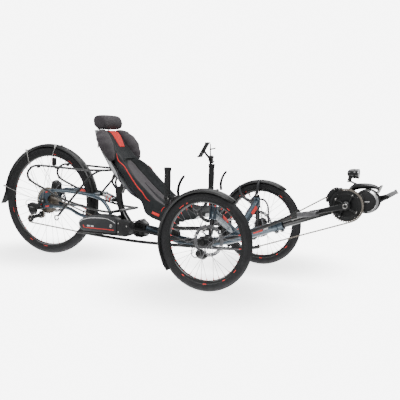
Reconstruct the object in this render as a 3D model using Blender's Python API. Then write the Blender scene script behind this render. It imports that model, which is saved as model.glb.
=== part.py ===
"""A recumbent tadpole tricycle with an electric mid-drive motor.

Two steered wheels stand in front and one driven wheel stands behind, on a sprung swing arm. A boom
carries the cranks and the motor ahead of the front wheels. +X is the way it rides, +Y is the rider's
left, +Z is up and the ground is z = 0. Lengths are in metres, and every place is given from the
front axle by at(x, y, z).
"""

import math

import bmesh
import bpy
from mathutils import Matrix, Vector

# ---------------------------------------------------------------- driving dimensions
FRONT_AXLE_X = 0.4010      # the middle of the overall length is x = 0
WHEELBASE = 1.227
TRACK = 0.795
FRONT_RADIUS = 0.243       # 40-406 tyre
REAR_RADIUS = 0.3265       # 47-559 tyre
CHAIN_Y = -0.050           # the plane of the chain
CHAIN_HALF = 0.0040        # half the chain's height
CRANK_LENGTH = 0.174
CRANK_ANGLE = 15.3         # degrees, left crank above level
BB_X, BB_Z = 0.594, 0.430  # bottom bracket
BOOM_ANGLE = 20.5
BOOM_RADIUS = 0.0205
FRAME_RADIUS = 0.0250
PIVOT_X, PIVOT_Z = -0.735, 0.250   # swing-arm pivot
BAR_X, BAR_TOP_Z = -0.072, 0.238   # handlebar pivot
GRIP_X, GRIP_Y = -0.277, 0.276
POST_Y = 0.045             # headrest posts
KING_LEAN = 12.6           # degrees, the kingpins' tops lean inwards
KING_ARM = 0.040           # steering arm on each knuckle
BAR_ARM = 0.060            # steering arm on the handlebar
GAP = 0.0003               # between faces that touch
ROUND = 36                 # sides of a wheel
SPOKES = 8                 # modelled on each wheel


def at(x, y, z):
    """A place given from the front axle."""
    return Vector((FRONT_AXLE_X + x, y, z))


REAR_AXLE = at(-WHEELBASE, 0, REAR_RADIUS)
BB = at(BB_X, 0, BB_Z)
BOOM_DIR = Vector((math.cos(math.radians(BOOM_ANGLE)), 0, math.sin(math.radians(BOOM_ANGLE))))
PIVOT = at(PIVOT_X, 0, PIVOT_Z)
Y_AXIS = Vector((0, 1, 0))


# ---------------------------------------------------------------- modelling helpers
def clear_scene():
    for item in list(bpy.data.objects):
        bpy.data.objects.remove(item, do_unlink=True)


def material(name, colour, roughness=0.5, metallic=0.0):
    made = bpy.data.materials.new(name)
    made.use_nodes = True
    shader = made.node_tree.nodes["Principled BSDF"]
    shader.inputs["Base Color"].default_value = (*colour, 1.0)
    shader.inputs["Roughness"].default_value = roughness
    shader.inputs["Metallic"].default_value = metallic
    return made


def link_new(mesh):
    item = bpy.data.objects.new("shape", mesh)
    bpy.context.scene.collection.objects.link(item)
    return item


def from_bmesh(bm):
    bmesh.ops.recalc_face_normals(bm, faces=bm.faces)
    mesh = bpy.data.meshes.new("shape")
    bm.to_mesh(mesh)
    bm.free()
    return link_new(mesh)


def lathe(profile, origin, axis, steps, ring=False):
    """Turn (radius, along) points about an axis; a ring's profile is a closed loop off the axis."""
    axis = Vector(axis).normalized()
    start = Vector((0, 0, 1)) if abs(axis.z) < 0.9 else Vector((1, 0, 0))
    side = (start - axis * start.dot(axis)).normalized()
    up = axis.cross(side)
    bm = bmesh.new()
    rows = []
    for step in range(steps):
        angle = 2 * math.pi * step / steps
        out = side * math.cos(angle) + up * math.sin(angle)
        rows.append([bm.verts.new(origin + axis * along + out * radius) for radius, along in profile])
    spans = len(profile) if ring else len(profile) - 1
    for i, row in enumerate(rows):
        after = rows[(i + 1) % steps]
        for j in range(spans):
            k = (j + 1) % len(profile)
            bm.faces.new((row[j], row[k], after[k], after[j]))
    if not ring:
        bm.faces.new([row[0] for row in rows])
        bm.faces.new([row[-1] for row in rows])
    return from_bmesh(bm)


def rod(start, end, radius, sides=10, end_radius=None):
    start = Vector(start)
    along = Vector(end) - start
    last = radius if end_radius is None else end_radius
    return lathe([(radius, 0), (last, along.length)], start, along, sides)


def ring(centre, axis, outer, inner, low, high, steps=16):
    """A flat ring round an axis, from low to high along it."""
    profile = [(inner, low), (outer, low), (outer, high), (inner, high)]
    return lathe(profile, centre, axis, steps, ring=True)


def loft(sections, closed=False):
    """Skin closed loops of points, one after another, and cap the ends."""
    bm = bmesh.new()
    rows = [[bm.verts.new(point) for point in section] for section in sections]
    count = len(rows[0])
    for i in range(len(rows) if closed else len(rows) - 1):
        row, after = rows[i], rows[(i + 1) % len(rows)]
        for j in range(count):
            k = (j + 1) % count
            bm.faces.new((row[j], row[k], after[k], after[j]))
    if not closed:
        bm.faces.new(rows[0])
        bm.faces.new(rows[-1])
    return from_bmesh(bm)


def block(low, high):
    """A box from corner to corner."""
    corners = [Vector((low[0], y, z)) for y, z in
               ((low[1], low[2]), (high[1], low[2]), (high[1], high[2]), (low[1], high[2]))]
    far = [Vector((high[0], p.y, p.z)) for p in corners]
    return loft([corners, far])


def plate(outline, low_y, high_y):
    """An (x, z) outline, given from the front axle, extruded across Y."""
    return loft([[at(x, y, z) for x, z in outline] for y in (low_y, high_y)])


def tube(points, radius, sides=8, steps=3):
    """A round bar through the points on one smooth curve."""
    curve = bpy.data.curves.new("path", "CURVE")
    curve.dimensions = "3D"
    curve.bevel_depth = radius
    curve.bevel_resolution = (sides - 4) // 2
    curve.resolution_u = steps
    curve.render_resolution_u = 0
    curve.use_fill_caps = True
    spline = curve.splines.new("BEZIER")
    spline.bezier_points.add(len(points) - 1)
    for knot, point in zip(spline.bezier_points, points):
        knot.co = point
        knot.handle_left_type = "AUTO"
        knot.handle_right_type = "AUTO"
    path = link_new(curve)
    mesh = evaluated_mesh(path)
    bpy.data.objects.remove(path, do_unlink=True)
    bm = bmesh.new()
    bm.from_mesh(mesh)
    bmesh.ops.remove_doubles(bm, verts=bm.verts, dist=1e-6)
    return from_bmesh(bm)


def evaluated_mesh(item):
    graph = bpy.context.evaluated_depsgraph_get()
    return bpy.data.meshes.new_from_object(item.evaluated_get(graph))


def group_of(items, name):
    group = bpy.data.collections.new(name)
    for item in items:
        group.objects.link(item)
    return group


def fuse(pieces, cuts=()):
    """One closed body: the union of the pieces, less the cuts."""
    base = pieces[0]
    for operation, others in (("UNION", pieces[1:]), ("DIFFERENCE", list(cuts))):
        if not others:
            continue
        group = group_of(others, operation)
        cutter = base.modifiers.new(operation, "BOOLEAN")
        cutter.operation = operation
        cutter.operand_type = "COLLECTION"
        cutter.collection = group
        cutter.solver = "EXACT"
    mesh = evaluated_mesh(base)
    for item in [*pieces, *cuts]:
        bpy.data.objects.remove(item, do_unlink=True)
    return link_new(mesh)


def node(name, shape, finish, pivot=None):
    """Name a finished body, give it its material, and hang a moving one on its joint's axis."""
    shape.name = name
    shape.data.name = name
    shape.data.materials.clear()
    shape.data.materials.append(finish)
    shape.data.shade_smooth()
    shape.data.set_sharp_from_angle(angle=math.radians(35))
    if pivot is not None:
        shape.data.transform(Matrix.Translation(-Vector(pivot)))
        shape.location = pivot
    return shape


def turned(direction, degrees):
    """A direction turned in the XZ plane, positive from +X towards +Z."""
    angle = math.radians(degrees)
    return Vector((direction.x * math.cos(angle) - direction.z * math.sin(angle), 0,
                   direction.x * math.sin(angle) + direction.z * math.cos(angle)))


def polar(centre, radius, degrees, y=0.0):
    """A place round a Y axis, positive from +X towards +Z."""
    angle = math.radians(degrees)
    return Vector((centre.x + radius * math.cos(angle), y, centre.z + radius * math.sin(angle)))


# ---------------------------------------------------------------- materials
RUBBER = material("tyre_rubber", (0.035, 0.035, 0.037), 0.8)
BLACK = material("black_paint", (0.012, 0.013, 0.014), 0.35)
PLASTIC = material("black_plastic", (0.02, 0.02, 0.022), 0.55)
GREY_PLASTIC = material("grey_plastic", (0.11, 0.11, 0.115), 0.5)
FRAME_PAINT = material("blue_grey_metallic", (0.09, 0.13, 0.17), 0.32, 0.6)
STEEL = material("steel", (0.62, 0.62, 0.60), 0.28, 1.0)
ALLOY = material("alloy", (0.75, 0.75, 0.76), 0.3, 1.0)
CHAIN_STEEL = material("chain_steel", (0.28, 0.24, 0.20), 0.4, 0.9)
SHELL = material("seat_shell", (0.7, 0.71, 0.72), 0.4)
FABRIC = material("seat_fabric", (0.035, 0.04, 0.043), 0.9)
GREY_FABRIC = material("grey_fabric", (0.13, 0.115, 0.12), 0.9)
LAMP = material("lamp_black", (0.015, 0.015, 0.016), 0.3)


# ---------------------------------------------------------------- wheels
def tyre(name, centre, radius, width, bead):
    half = width / 2
    side = [(bead, 0.50), ((bead + radius) / 2 - 0.004, 1.0), (radius - 0.009, 0.80), (radius, 0.30)]
    profile = [(r, -half * share) for r, share in side]
    profile += [(r, half * share) for r, share in reversed(side)]
    shape = lathe(profile, centre, Y_AXIS, ROUND, ring=True)
    return node(name, shape, RUBBER, centre)


def spoked_wheel(name, centre, rim_inner, rim_outer, hub_profile, flanges, spokes):
    """Rim, spokes and hub: one body with a running bore."""
    rim_profile = [(rim_inner, -0.006), (rim_outer - 0.005, -0.012), (rim_outer, -0.012),
                   (rim_outer, 0.012), (rim_outer - 0.005, 0.012), (rim_inner, 0.006)]
    pieces = [lathe(rim_profile, centre, Y_AXIS, ROUND, ring=True),
              lathe(hub_profile, centre, Y_AXIS, 14, ring=True)]
    for i in range(spokes):
        flange_radius, flange_y = flanges[i % 2]
        lean = 40 if i % 4 < 2 else -40
        angle = 360 * i / spokes
        inner = polar(centre, flange_radius, angle + lean, centre.y + flange_y)
        outer = polar(centre, rim_inner + 0.004, angle, centre.y)
        pieces.append(rod(inner, outer, 0.0012, 4))
    return node(name, fuse(pieces), ALLOY, centre)


def rotor(name, centre, y, inner):
    """A brake disc: a friction ring on five arms."""
    middle = Vector((centre.x, centre.y + y, centre.z))
    pieces = [ring(middle, Y_AXIS, 0.080, 0.062, -0.001, 0.001, 24),
              ring(middle, Y_AXIS, 0.030, inner, -0.0012, 0.0012, 14)]
    for i in range(5):
        inside = polar(middle, 0.026, 72 * i, middle.y)
        outside = polar(middle, 0.066, 72 * i + 22, middle.y)
        pieces.append(rod(inside, outside, 0.0009, 4))
    return node(name, fuse(pieces), STEEL, centre)


def front_wheel(tag, side):
    centre = at(0, side * TRACK / 2, FRONT_RADIUS)
    tyre("tyre_" + tag, centre, FRONT_RADIUS, 0.042, 0.2055)
    inner, outer = -side * 0.0405, side * 0.033
    hub = [(0.0087, inner), (0.020, inner), (0.020, -side * 0.030), (0.029, -side * 0.028),
           (0.029, -side * 0.024), (0.018, -side * 0.020), (0.018, side * 0.020),
           (0.029, side * 0.024), (0.029, side * 0.028), (0.017, outer), (0.0087, outer)]
    spoked_wheel("wheel_" + tag, centre, 0.190, 0.2050, hub, [(0.027, 0.026), (0.027, -0.026)], SPOKES)
    rotor("rotor_" + tag, centre, -side * 0.0375, 0.0212)


def rear_wheel():
    tyre("tyre_rear", REAR_AXLE, REAR_RADIUS, 0.047, 0.2850)
    hub = [(0.0070, -0.0225), (0.030, -0.0225), (0.030, -0.0185), (0.018, -0.015), (0.018, 0.028),
           (0.030, 0.032), (0.030, 0.036), (0.020, 0.040), (0.020, 0.0585), (0.0070, 0.0585)]
    spoked_wheel("wheel_rear", REAR_AXLE, 0.267, 0.2845, hub, [(0.028, -0.0205), (0.028, 0.034)], SPOKES)
    rotor("rotor_rear", REAR_AXLE, 0.0545, 0.0212)


def mudguard_shell(centre, radius, half, first, last, stations):
    """A thin channel that follows the tyre from one angle to another."""
    sections = []
    for i in range(stations):
        angle = first + (last - first) * i / (stations - 1)
        outside = [(-half, -0.011), (-half * 0.55, -0.0025), (half * 0.55, -0.0025), (half, -0.011)]
        inside = [(half - 0.0016, -0.0126), (half * 0.5, -0.0045), (-half * 0.5, -0.0045),
                  (-half + 0.0016, -0.0126)]
        sections.append([polar(centre, radius + rise, angle, centre.y + y) for y, rise in outside + inside])
    return loft(sections)


# ---------------------------------------------------------------- steering
def king_point(side, z):
    """A place on a kingpin's axis, which meets the ground under the tyre."""
    return at(0, side * (TRACK / 2 - z * math.tan(math.radians(KING_LEAN))), z)


def knuckle(tag, side):
    """Kingpin, upright, stub axle and steering arm."""
    wheel = at(0, side * TRACK / 2, FRONT_RADIUS)
    top, shoulder = king_point(side, 0.4095), king_point(side, 0.3400)
    foot = king_point(side, 0.2300)
    pieces = [rod(foot, shoulder, 0.0098, 10), rod(king_point(side, 0.2700), shoulder, 0.0125, 12),
              rod(king_point(side, 0.30), top, 0.0090, 12),
              rod(king_point(side, 0.4075), king_point(side, 0.4150), 0.0150, 12)]
    pieces.append(rod(at(0, side * 0.335, FRONT_RADIUS), at(0, side * 0.4320, FRONT_RADIUS), 0.0080, 12))
    pieces.append(rod(at(0, side * 0.4312, FRONT_RADIUS), at(0, side * 0.4380, FRONT_RADIUS), 0.0120, 12))
    arm_root, arm_end = king_point(side, 0.305), king_point(side, 0.305) + Vector((-KING_ARM, 0, 0))
    pieces.append(rod(arm_root, arm_end + Vector((-0.006, 0, 0)), 0.0055, 8))
    pieces.append(rod(arm_end + Vector((0, 0, -0.0060)), arm_end + Vector((0, 0, 0.0075)), 0.0080, 10))
    caliper_lug = at(-0.040, side * 0.3425, 0.2020)
    pieces.append(rod(king_point(side, 0.236), caliper_lug, 0.0065, 8))
    pivot = king_point(side, 0.375)
    node("knuckle_" + tag, fuse(pieces), BLACK, pivot)
    caliper(tag, side, pivot)
    front_mudguard(tag, side, wheel, pivot)


def caliper(tag, side, pivot):
    """The body straddles the disc below and behind the axle."""
    middle = side * (TRACK / 2 - 0.0375)
    low, high = sorted((middle - side * 0.018, middle + side * 0.009))
    outline = [(-0.062, 0.190), (-0.044, 0.1985), (-0.018, 0.1840), (-0.006, 0.1580), (-0.020, 0.1440),
               (-0.052, 0.1500), (-0.070, 0.1700)]
    slot_low, slot_high = middle - 0.0022, middle + 0.0022
    slot = [(-0.085, 0.165), (-0.045, 0.205), (0.010, 0.205), (0.010, 0.168), (-0.022, 0.157),
            (-0.050, 0.165)]
    body = fuse([plate(outline, low, high)], [plate(slot, slot_low, slot_high),
                                              plate([(-0.09, 0.157), (-0.09, 0.21), (0.02, 0.21), (0.02, 0.157)],
                                                    slot_low, slot_high)])
    node("brake_caliper_" + tag, body, BLACK, pivot)


def front_mudguard(tag, side, wheel, pivot):
    """The shell, and two stays that join at a block on the knuckle."""
    shell = mudguard_shell(wheel, 0.2605, 0.0285, 55, 209, 15)
    y = side * 0.3600
    hub = at(-0.058, side * 0.3600, 0.372)
    pieces = [shell]
    for angle in (93, 121):
        edge = polar(wheel, 0.2500, angle, side * (TRACK / 2 - 0.0279))
        low = polar(wheel, 0.232, angle, y)
        pieces.append(tube([hub, hub.lerp(low, 0.5) + Vector((0.0, 0, -0.004)), low, edge], 0.0042, 6, 2))
    root = king_point(side, 0.3330) + Vector((-0.0160, 0, 0))
    pieces.append(tube([root, at(-0.038, side * 0.343, 0.345), hub], 0.0060, 6, 2))
    pieces.append(rod(hub + Vector((0, -0.006, 0)), hub + Vector((0, 0.006, 0)), 0.011, 8))
    node("mudguard_" + tag, fuse(pieces), PLASTIC, pivot)


def handlebar():
    """The under-seat bar turns on a pin behind the front axle."""
    pivot = at(BAR_X, 0, BAR_TOP_Z)
    half = [(GRIP_X, GRIP_Y, 0.579), (GRIP_X, GRIP_Y, 0.350), (GRIP_X + 0.003, GRIP_Y - 0.005, 0.315),
            (GRIP_X + 0.013, GRIP_Y - 0.018, 0.284), (-0.242, 0.232, 0.268), (-0.180, 0.150, 0.262),
            (-0.115, 0.060, 0.254), (BAR_X - 0.012, 0.006, 0.252)]
    pieces = [ring(pivot, (0, 0, 1), 0.0190, 0.0088, GAP, 0.0310, 16)]
    for side in (1, -1):
        pieces.append(tube([at(x, side * y, z) for x, y, z in half], 0.0110, 8, 1))
        clamp = at(GRIP_X, side * GRIP_Y, 0.4255)
        pieces.append(ring(clamp, (0, 0, 1), 0.0165, 0.0100, -0.011, 0.011, 12))
        pieces.append(rod(clamp, clamp + Vector((0.034, 0, 0.003)), 0.0085, 8))
        pieces.append(rod(clamp + Vector((0.030, 0, -0.020)), clamp + Vector((0.050, 0, 0.012)), 0.0075, 8))
    arm = [(BAR_X - BAR_ARM - 0.012, -0.030), (BAR_X + 0.010, -0.022), (BAR_X + 0.010, 0.022),
           (BAR_X - BAR_ARM - 0.012, 0.030)]
    pieces.append(loft([[at(x, y, z) for x, y in arm] for z in (0.2680, 0.2725)]))
    pin_bore = rod(at(BAR_X, 0, 0.20), at(BAR_X, 0, 0.30), 0.0088, 16)
    node("handlebar", fuse(pieces, [pin_bore]), BLACK, pivot)
    for tag, side in (("left", 1), ("right", -1)):
        foot = at(GRIP_X, side * GRIP_Y, 0.0)
        profile = [(0.0118, 0.4375), (0.0160, 0.4375), (0.0155, 0.455), (0.0165, 0.500), (0.0160, 0.560),
                   (0.0195, 0.574), (0.0185, 0.584), (0.0118, 0.584)]
        node("grip_" + tag, lathe(profile, foot, (0, 0, 1), 14, ring=True), RUBBER, pivot)
        brake_lever(tag, side)
        tie_rod(tag, side)


def brake_lever(tag, side):
    hinge = at(GRIP_X + 0.065, side * GRIP_Y, 0.4400)
    blade = [(0.0, 0.0), (-0.003, 0.030), (0.004, 0.060), (0.016, 0.086), (0.030, 0.101)]
    pieces = [rod(hinge + Vector((0, -0.007, 0)), hinge + Vector((0, 0.007, 0)), 0.0065, 8),
              tube([hinge + Vector((x, 0, z)) for x, z in blade], 0.0045, 6, 2)]
    node("brake_lever_" + tag, fuse(pieces), ALLOY, hinge)


def tie_rod(tag, side):
    """Lies between the bar's arm and a knuckle's arm; its outer eye hangs clear below the arm."""
    inner = at(BAR_X - BAR_ARM, side * 0.020, 0.2790)
    arm_end = king_point(side, 0.305) + Vector((-KING_ARM, 0, 0))
    outer = Vector((arm_end.x, arm_end.y, 0.2860))
    pieces = [rod(inner, outer, 0.0045, 8)]
    for eye in (inner, outer):
        pieces.append(rod(eye + Vector((0, 0, -0.0055)), eye + Vector((0, 0, 0.0055)), 0.0085, 10))
    node("tie_rod_" + tag, fuse(pieces), STEEL, inner)


def phone_cradle():
    """A tilting phone holder on the left grip."""
    ball = at(GRIP_X - 0.006, GRIP_Y, 0.6080)
    pieces = [rod(at(GRIP_X, GRIP_Y, 0.5880), at(GRIP_X - 0.004, GRIP_Y, 0.604), 0.0095, 10),
              rod(ball + Vector((0, -0.013, 0)), ball + Vector((0, 0.013, 0)), 0.0120, 12),
              tube([ball, at(-0.315, GRIP_Y, 0.640), at(-0.333, GRIP_Y, 0.662)], 0.0070, 6, 2)]
    face = Vector((0.050, 0, 0.088)).normalized()
    normal = Vector((-face.z, 0, face.x))
    low = at(-0.360, GRIP_Y, 0.622)
    corners = []
    for depth in (0.0, -0.008):
        corners.append([low + normal * depth + face * s + Vector((0, y, 0))
                        for s, y in ((0, -0.031), (0.102, -0.031), (0.102, 0.031), (0, 0.031))])
    pieces.append(loft(corners))
    pieces.append(tube([ball, at(-0.286, GRIP_Y, 0.650), at(-0.288, GRIP_Y, 0.702)], 0.0040, 6, 2))
    pieces.append(rod(at(-0.290, GRIP_Y, 0.668), at(-0.256, GRIP_Y, 0.676), 0.0045, 6))
    return node("phone_cradle", fuse(pieces), PLASTIC, ball)


# ---------------------------------------------------------------- frame
def main_frame():
    """Centre tube with the boom's socket, the cross arms, the head tubes and the front seat post."""
    mouth = BB - BOOM_DIR * 0.355
    socket_foot = BB - BOOM_DIR * 0.610
    pieces = [rod(socket_foot, mouth, FRAME_RADIUS, 16),
              rod(mouth - BOOM_DIR * 0.060, mouth + BOOM_DIR * 0.001, 0.0285, 16)]
    spine = [(-0.5410, 0.2080), (-0.475, 0.1990), (-0.390, 0.1780), (-0.280, 0.1600), (-0.170, 0.1660),
             (-0.070, 0.1880), (0.010, 0.2120), (0.080, 0.2380)]
    pieces.append(tube([at(x, 0, z) for x, z in spine], FRAME_RADIUS, 12, 1))
    for side in (1, -1):
        head_low, head_high = king_point(side, 0.3425), king_point(side, 0.4070)
        arm = [at(0, 0, 0.2350), at(0.004, side * 0.150, 0.3000), king_point(side, 0.3760)]
        pieces.append(tube(arm, 0.0210, 10, 2))
        pieces.append(rod(head_low, head_high, 0.0195, 16))
    post = [(-0.400, 0.2420), (-0.350, 0.2420), (-0.335, 0.1680), (-0.385, 0.1750)]
    pieces.append(plate(post, -0.018, 0.018))
    pieces.append(rod(at(-0.375, -0.060, 0.2480), at(-0.375, 0.060, 0.2480), 0.0100, 10))
    pieces.append(rod(at(BAR_X, 0, 0.195), at(BAR_X, 0, BAR_TOP_Z), 0.0180, 14))
    pieces.append(rod(at(BAR_X, 0, 0.205), at(BAR_X, 0, 0.2765), 0.0080, 14))
    for shift in (-0.042, -0.016):
        bolt = mouth + BOOM_DIR * shift + turned(BOOM_DIR, -90) * 0.031
        pieces.append(rod(bolt + Vector((0, -0.017, 0)), bolt + Vector((0, 0.017, 0)), 0.0065, 8))
    boom_bore = rod(socket_foot + BOOM_DIR * 0.030, mouth + BOOM_DIR * 0.02, BOOM_RADIUS + 0.0008, 16)
    cuts = [boom_bore]
    for side in (1, -1):
        cuts.append(rod(king_point(side, 0.330), king_point(side, 0.420), 0.0100, 16))
    node("main_frame", fuse(pieces, cuts), FRAME_PAINT)


def rear_frame():
    """The mono tube that rises behind the seat, the swing-arm lugs and the struts to the rack."""
    spine = [(-0.6245, 0.2080), (-0.645, 0.2120), (-0.674, 0.2460), (-0.705, 0.2900), (-0.729, 0.3480),
             (-0.741, 0.4400)]
    pieces = [tube([at(x, 0, z) for x, z in spine], 0.0200, 10, 1)]
    gusset = [(-0.756, 0.2400), (-0.735, 0.2740), (-0.700, 0.2820), (-0.640, 0.2200), (-0.640, 0.1760),
              (-0.680, 0.1720), (-0.745, 0.2200)]
    pieces.append(plate(gusset, -0.012, 0.012))
    pieces.append(rod(at(PIVOT_X, -0.0360, PIVOT_Z), at(PIVOT_X, 0.0360, PIVOT_Z), 0.0210, 16))
    pieces.append(rod(at(-0.700, -0.1355, 0.3060), at(-0.700, 0.1355, 0.3060), 0.0085, 10))
    pieces.append(plate([(-0.735, 0.400), (-0.722, 0.452), (-0.694, 0.486), (-0.680, 0.474),
                         (-0.712, 0.400)], -0.016, 0.016))
    for side in (1, -1):
        pieces.append(tube([at(-0.742, 0, 0.415), at(-0.775, side * 0.022, 0.475),
                            at(-0.745, side * 0.030, 0.5275)], 0.0065, 8, 2))
    shock_lug = [(-0.771, 0.364), (-0.735, 0.386), (-0.725, 0.350), (-0.762, 0.347)]
    pieces.append(plate(shock_lug, -0.005, 0.005))
    pieces.append(rod(at(-0.655, -0.0740, 0.1870), at(-0.655, 0.010, 0.1870), 0.0065, 8))
    pieces.append(rod(at(-0.700, -0.0740, 0.1850), at(-0.700, 0.010, 0.1850), 0.0065, 8))
    cuts = [rod(at(PIVOT_X, -0.06, PIVOT_Z), at(PIVOT_X, 0.06, PIVOT_Z), 0.0092, 16)]
    node("rear_frame", fuse(pieces, cuts), BLACK)


def fold_hinge():
    outline = [(-0.6202, 0.172), (-0.6202, 0.240), (-0.596, 0.256), (-0.566, 0.256), (-0.5453, 0.238),
               (-0.5453, 0.172), (-0.566, 0.160), (-0.600, 0.160)]
    pieces = [plate(outline, -0.030, 0.030), rod(at(-0.583, -0.034, 0.250), at(-0.583, 0.034, 0.250), 0.0125, 12)]
    node("fold_hinge", fuse(pieces), BLACK)
    hinge = at(-0.600, -0.0335, 0.1740)
    lever = [tube([hinge, hinge + Vector((0.035, -0.001, -0.006)), hinge + Vector((0.078, 0, 0.002))], 0.0028, 6, 2),
             rod(hinge + Vector((0, -0.0030, 0)), hinge + Vector((0, 0.0030, 0)), 0.0075, 10)]
    node("fold_latch", fuse(lever), BLACK, hinge)


def rack():
    """Two pannier loops joined behind the seat, each with a lower stay and a hook."""
    pieces = []
    for side in (1, -1):
        y = side * 0.143
        loop = [(-0.737, 0.0, 0.5380), (-0.740, 0.110, 0.5380), (-0.775, 0.143, 0.5370),
                (-0.900, 0.143, 0.5350), (-1.100, 0.143, 0.5420), (-1.215, 0.143, 0.5430),
                (-1.268, 0.143, 0.5230), (-1.283, 0.143, 0.4880), (-1.255, 0.143, 0.4480),
                (-1.136, 0.143, 0.4000), (-1.037, 0.143, 0.3600), (-0.850, 0.143, 0.3190),
                (-0.760, 0.143, 0.3080), (-0.692, 0.143, 0.3060)]
        pieces.append(tube([at(x, side * across, z) for x, across, z in loop], 0.0052, 6, 1))
        strut = [at(-0.765, y, 0.5365), at(-0.860, y, 0.4780), at(-1.062, y, 0.2560)]
        pieces.append(tube(strut, 0.0050, 6, 1))
        hook = at(-1.071, y, 0.2450)
        pieces.append(ring(hook, Y_AXIS, 0.0175, 0.0100, -0.0045, 0.0045, 10))
    lamp_stem = [at(-1.275, 0.143, 0.5100), at(-1.300, 0.143, 0.5120), at(-1.308, 0.143, 0.5240)]
    pieces.append(tube(lamp_stem, 0.0035, 6, 2))
    node("rack", fuse(pieces), BLACK)
    tail = block(at(-1.3200, 0.1290, 0.5290), at(-1.2990, 0.1570, 0.5790))
    node("tail_lamp", tail, LAMP)


# ---------------------------------------------------------------- seat
SEAT_LINE = [(-0.842, 0.748), (-0.812, 0.690), (-0.768, 0.622), (-0.700, 0.535), (-0.612, 0.446),
             (-0.528, 0.372), (-0.452, 0.316), (-0.370, 0.286), (-0.270, 0.287), (-0.175, 0.308),
             (-0.098, 0.333)]


def seat_frame(s):
    """The shell's rear line at station s: the place, and the direction the rider's side faces."""
    last = len(SEAT_LINE) - 1
    i = min(int(s), last - 1)
    t = s - i
    ends = [SEAT_LINE[max(0, min(last, i + k))] for k in (-1, 0, 1, 2)]
    place = []
    slope = []
    for axis in (0, 1):
        a, b, c, d = (p[axis] for p in ends)
        place.append(b + 0.5 * t * (c - a + t * (2 * a - 5 * b + 4 * c - d + t * (3 * (b - c) + d - a))))
        slope.append(0.5 * (c - a) + t * (2 * a - 5 * b + 4 * c - d) + 1.5 * t * t * (3 * (b - c) + d - a))
    along = Vector((slope[0], 0, slope[1])).normalized()
    return at(place[0], 0, place[1]), Vector((-along.z, 0, along.x))


def seat_point(s, y, n):
    place, out = seat_frame(s)
    return place + out * n + Vector((0, y, 0))


def blend(table, s):
    """A value read from (station, value) pairs."""
    for (s0, v0), (s1, v1) in zip(table, table[1:]):
        if s <= s1:
            return v0 + (v1 - v0) * max(0.0, s - s0) / (s1 - s0)
    return table[-1][1]


SEAT_STATIONS = [0.0, 0.6, 1.3, 2.0, 2.7, 3.3, 4.0, 5.0, 6.0, 6.6, 7.3, 8.0, 8.7, 9.3, 9.8]


def post_line():
    """The lower end and the direction of the headrest's posts."""
    return at(-0.8560, 0, 0.6600), Vector((0.10, 0, 1)).normalized()


def seat_shell():
    width = [(0, 0.118), (1, 0.136), (2.6, 0.142), (4.2, 0.140), (5, 0.130), (7, 0.140), (9.8, 0.115)]
    rise = [(0, 0.014), (2.4, 0.008), (3.2, 0.000), (4.2, 0.000), (5.2, 0.016), (9.8, 0.018)]
    sections = []
    for s in SEAT_STATIONS:
        half, tip = blend(width, s), blend(rise, s)
        loop = [(-half, tip), (-half * 0.8, 0.003), (0, 0), (half * 0.8, 0.003), (half, tip),
                (half * 0.96, tip + 0.003), (half * 0.76, 0.008), (0, 0.005), (-half * 0.76, 0.008),
                (-half * 0.96, tip + 0.003)]
        sections.append([seat_point(s, y, n) for y, n in loop])
    pieces = [loft(sections)]
    foot, along = post_line()
    cuts = []
    for side in (1, -1):
        sleeve = foot + along * 0.0500 + Vector((0, side * POST_Y, 0))
        pieces.append(rod(sleeve - along * 0.012, sleeve + along * 0.012, 0.0090, 10))
        pieces.append(block(sleeve + Vector((0.006, -0.007, -0.006)), sleeve + Vector((0.031, 0.007, 0.008))))
        cuts.append(rod(sleeve - along * 0.03, sleeve + along * 0.03, 0.0048, 10))
    node("seat_shell", fuse(pieces, cuts), SHELL)


def seat_pad():
    """The main pad: a padded channel from shoulders to the front edge of the seat."""
    width = [(0, 0.070), (1.2, 0.088), (2.7, 0.112), (3.3, 0.158), (4.5, 0.166),
             (6.3, 0.178), (7.5, 0.180), (9.7, 0.150)]
    lift = [(0, 0.012), (2.7, 0.018), (3.3, 0.034), (5.0, 0.026), (6.0, -0.004), (7.3, -0.006), (9.7, 0.000)]
    depth = [(0, 0.040), (1, 0.048), (5, 0.052), (6.5, 0.062), (8.5, 0.052), (9.7, 0.030)]
    sections = []
    for s in SEAT_STATIONS:
        half, raised, thick = blend(width, s), blend(lift, s), blend(depth, s)
        under = max(raised, 0.0125)
        inner = min(half * 0.80, 0.128)
        if raised < 0.010:
            inner = 0.146
        loop = [(-half, raised), (-inner, under + 0.013), (0, 0.0095), (inner, under + 0.013), (half, raised),
                (half * 1.02, raised + 0.030), (half * 0.80, thick + 0.012), (0, thick),
                (-half * 0.80, thick + 0.012), (-half * 1.02, raised + 0.030)]
        sections.append([seat_point(s, y, n) for y, n in loop])
    node("seat_pad", loft(sections), FABRIC)


def wing_pads():
    """The shoulder bolsters on both sides of the back."""
    for tag, side in (("left", 1), ("right", -1)):
        sections = []
        for s, inner, outer, rise in ((0.02, 0.078, 0.128, 0.048), (0.5, 0.085, 0.172, 0.062),
                                      (1.2, 0.096, 0.205, 0.074), (1.9, 0.108, 0.212, 0.076),
                                      (2.5, 0.119, 0.198, 0.066), (2.95, 0.136, 0.170, 0.052)):
            tall = rise - 0.026
            loop = [(inner, 0.0265), (outer * 0.97, 0.0265 + tall * 0.12), (outer, 0.026 + tall * 0.6),
                    (outer * 0.90, rise), (inner + 0.003, 0.026 + tall * 0.85)]
            sections.append([seat_point(s, side * y, n) for y, n in loop])
        node("wing_pad_" + tag, loft(sections), GREY_FABRIC)


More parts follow.
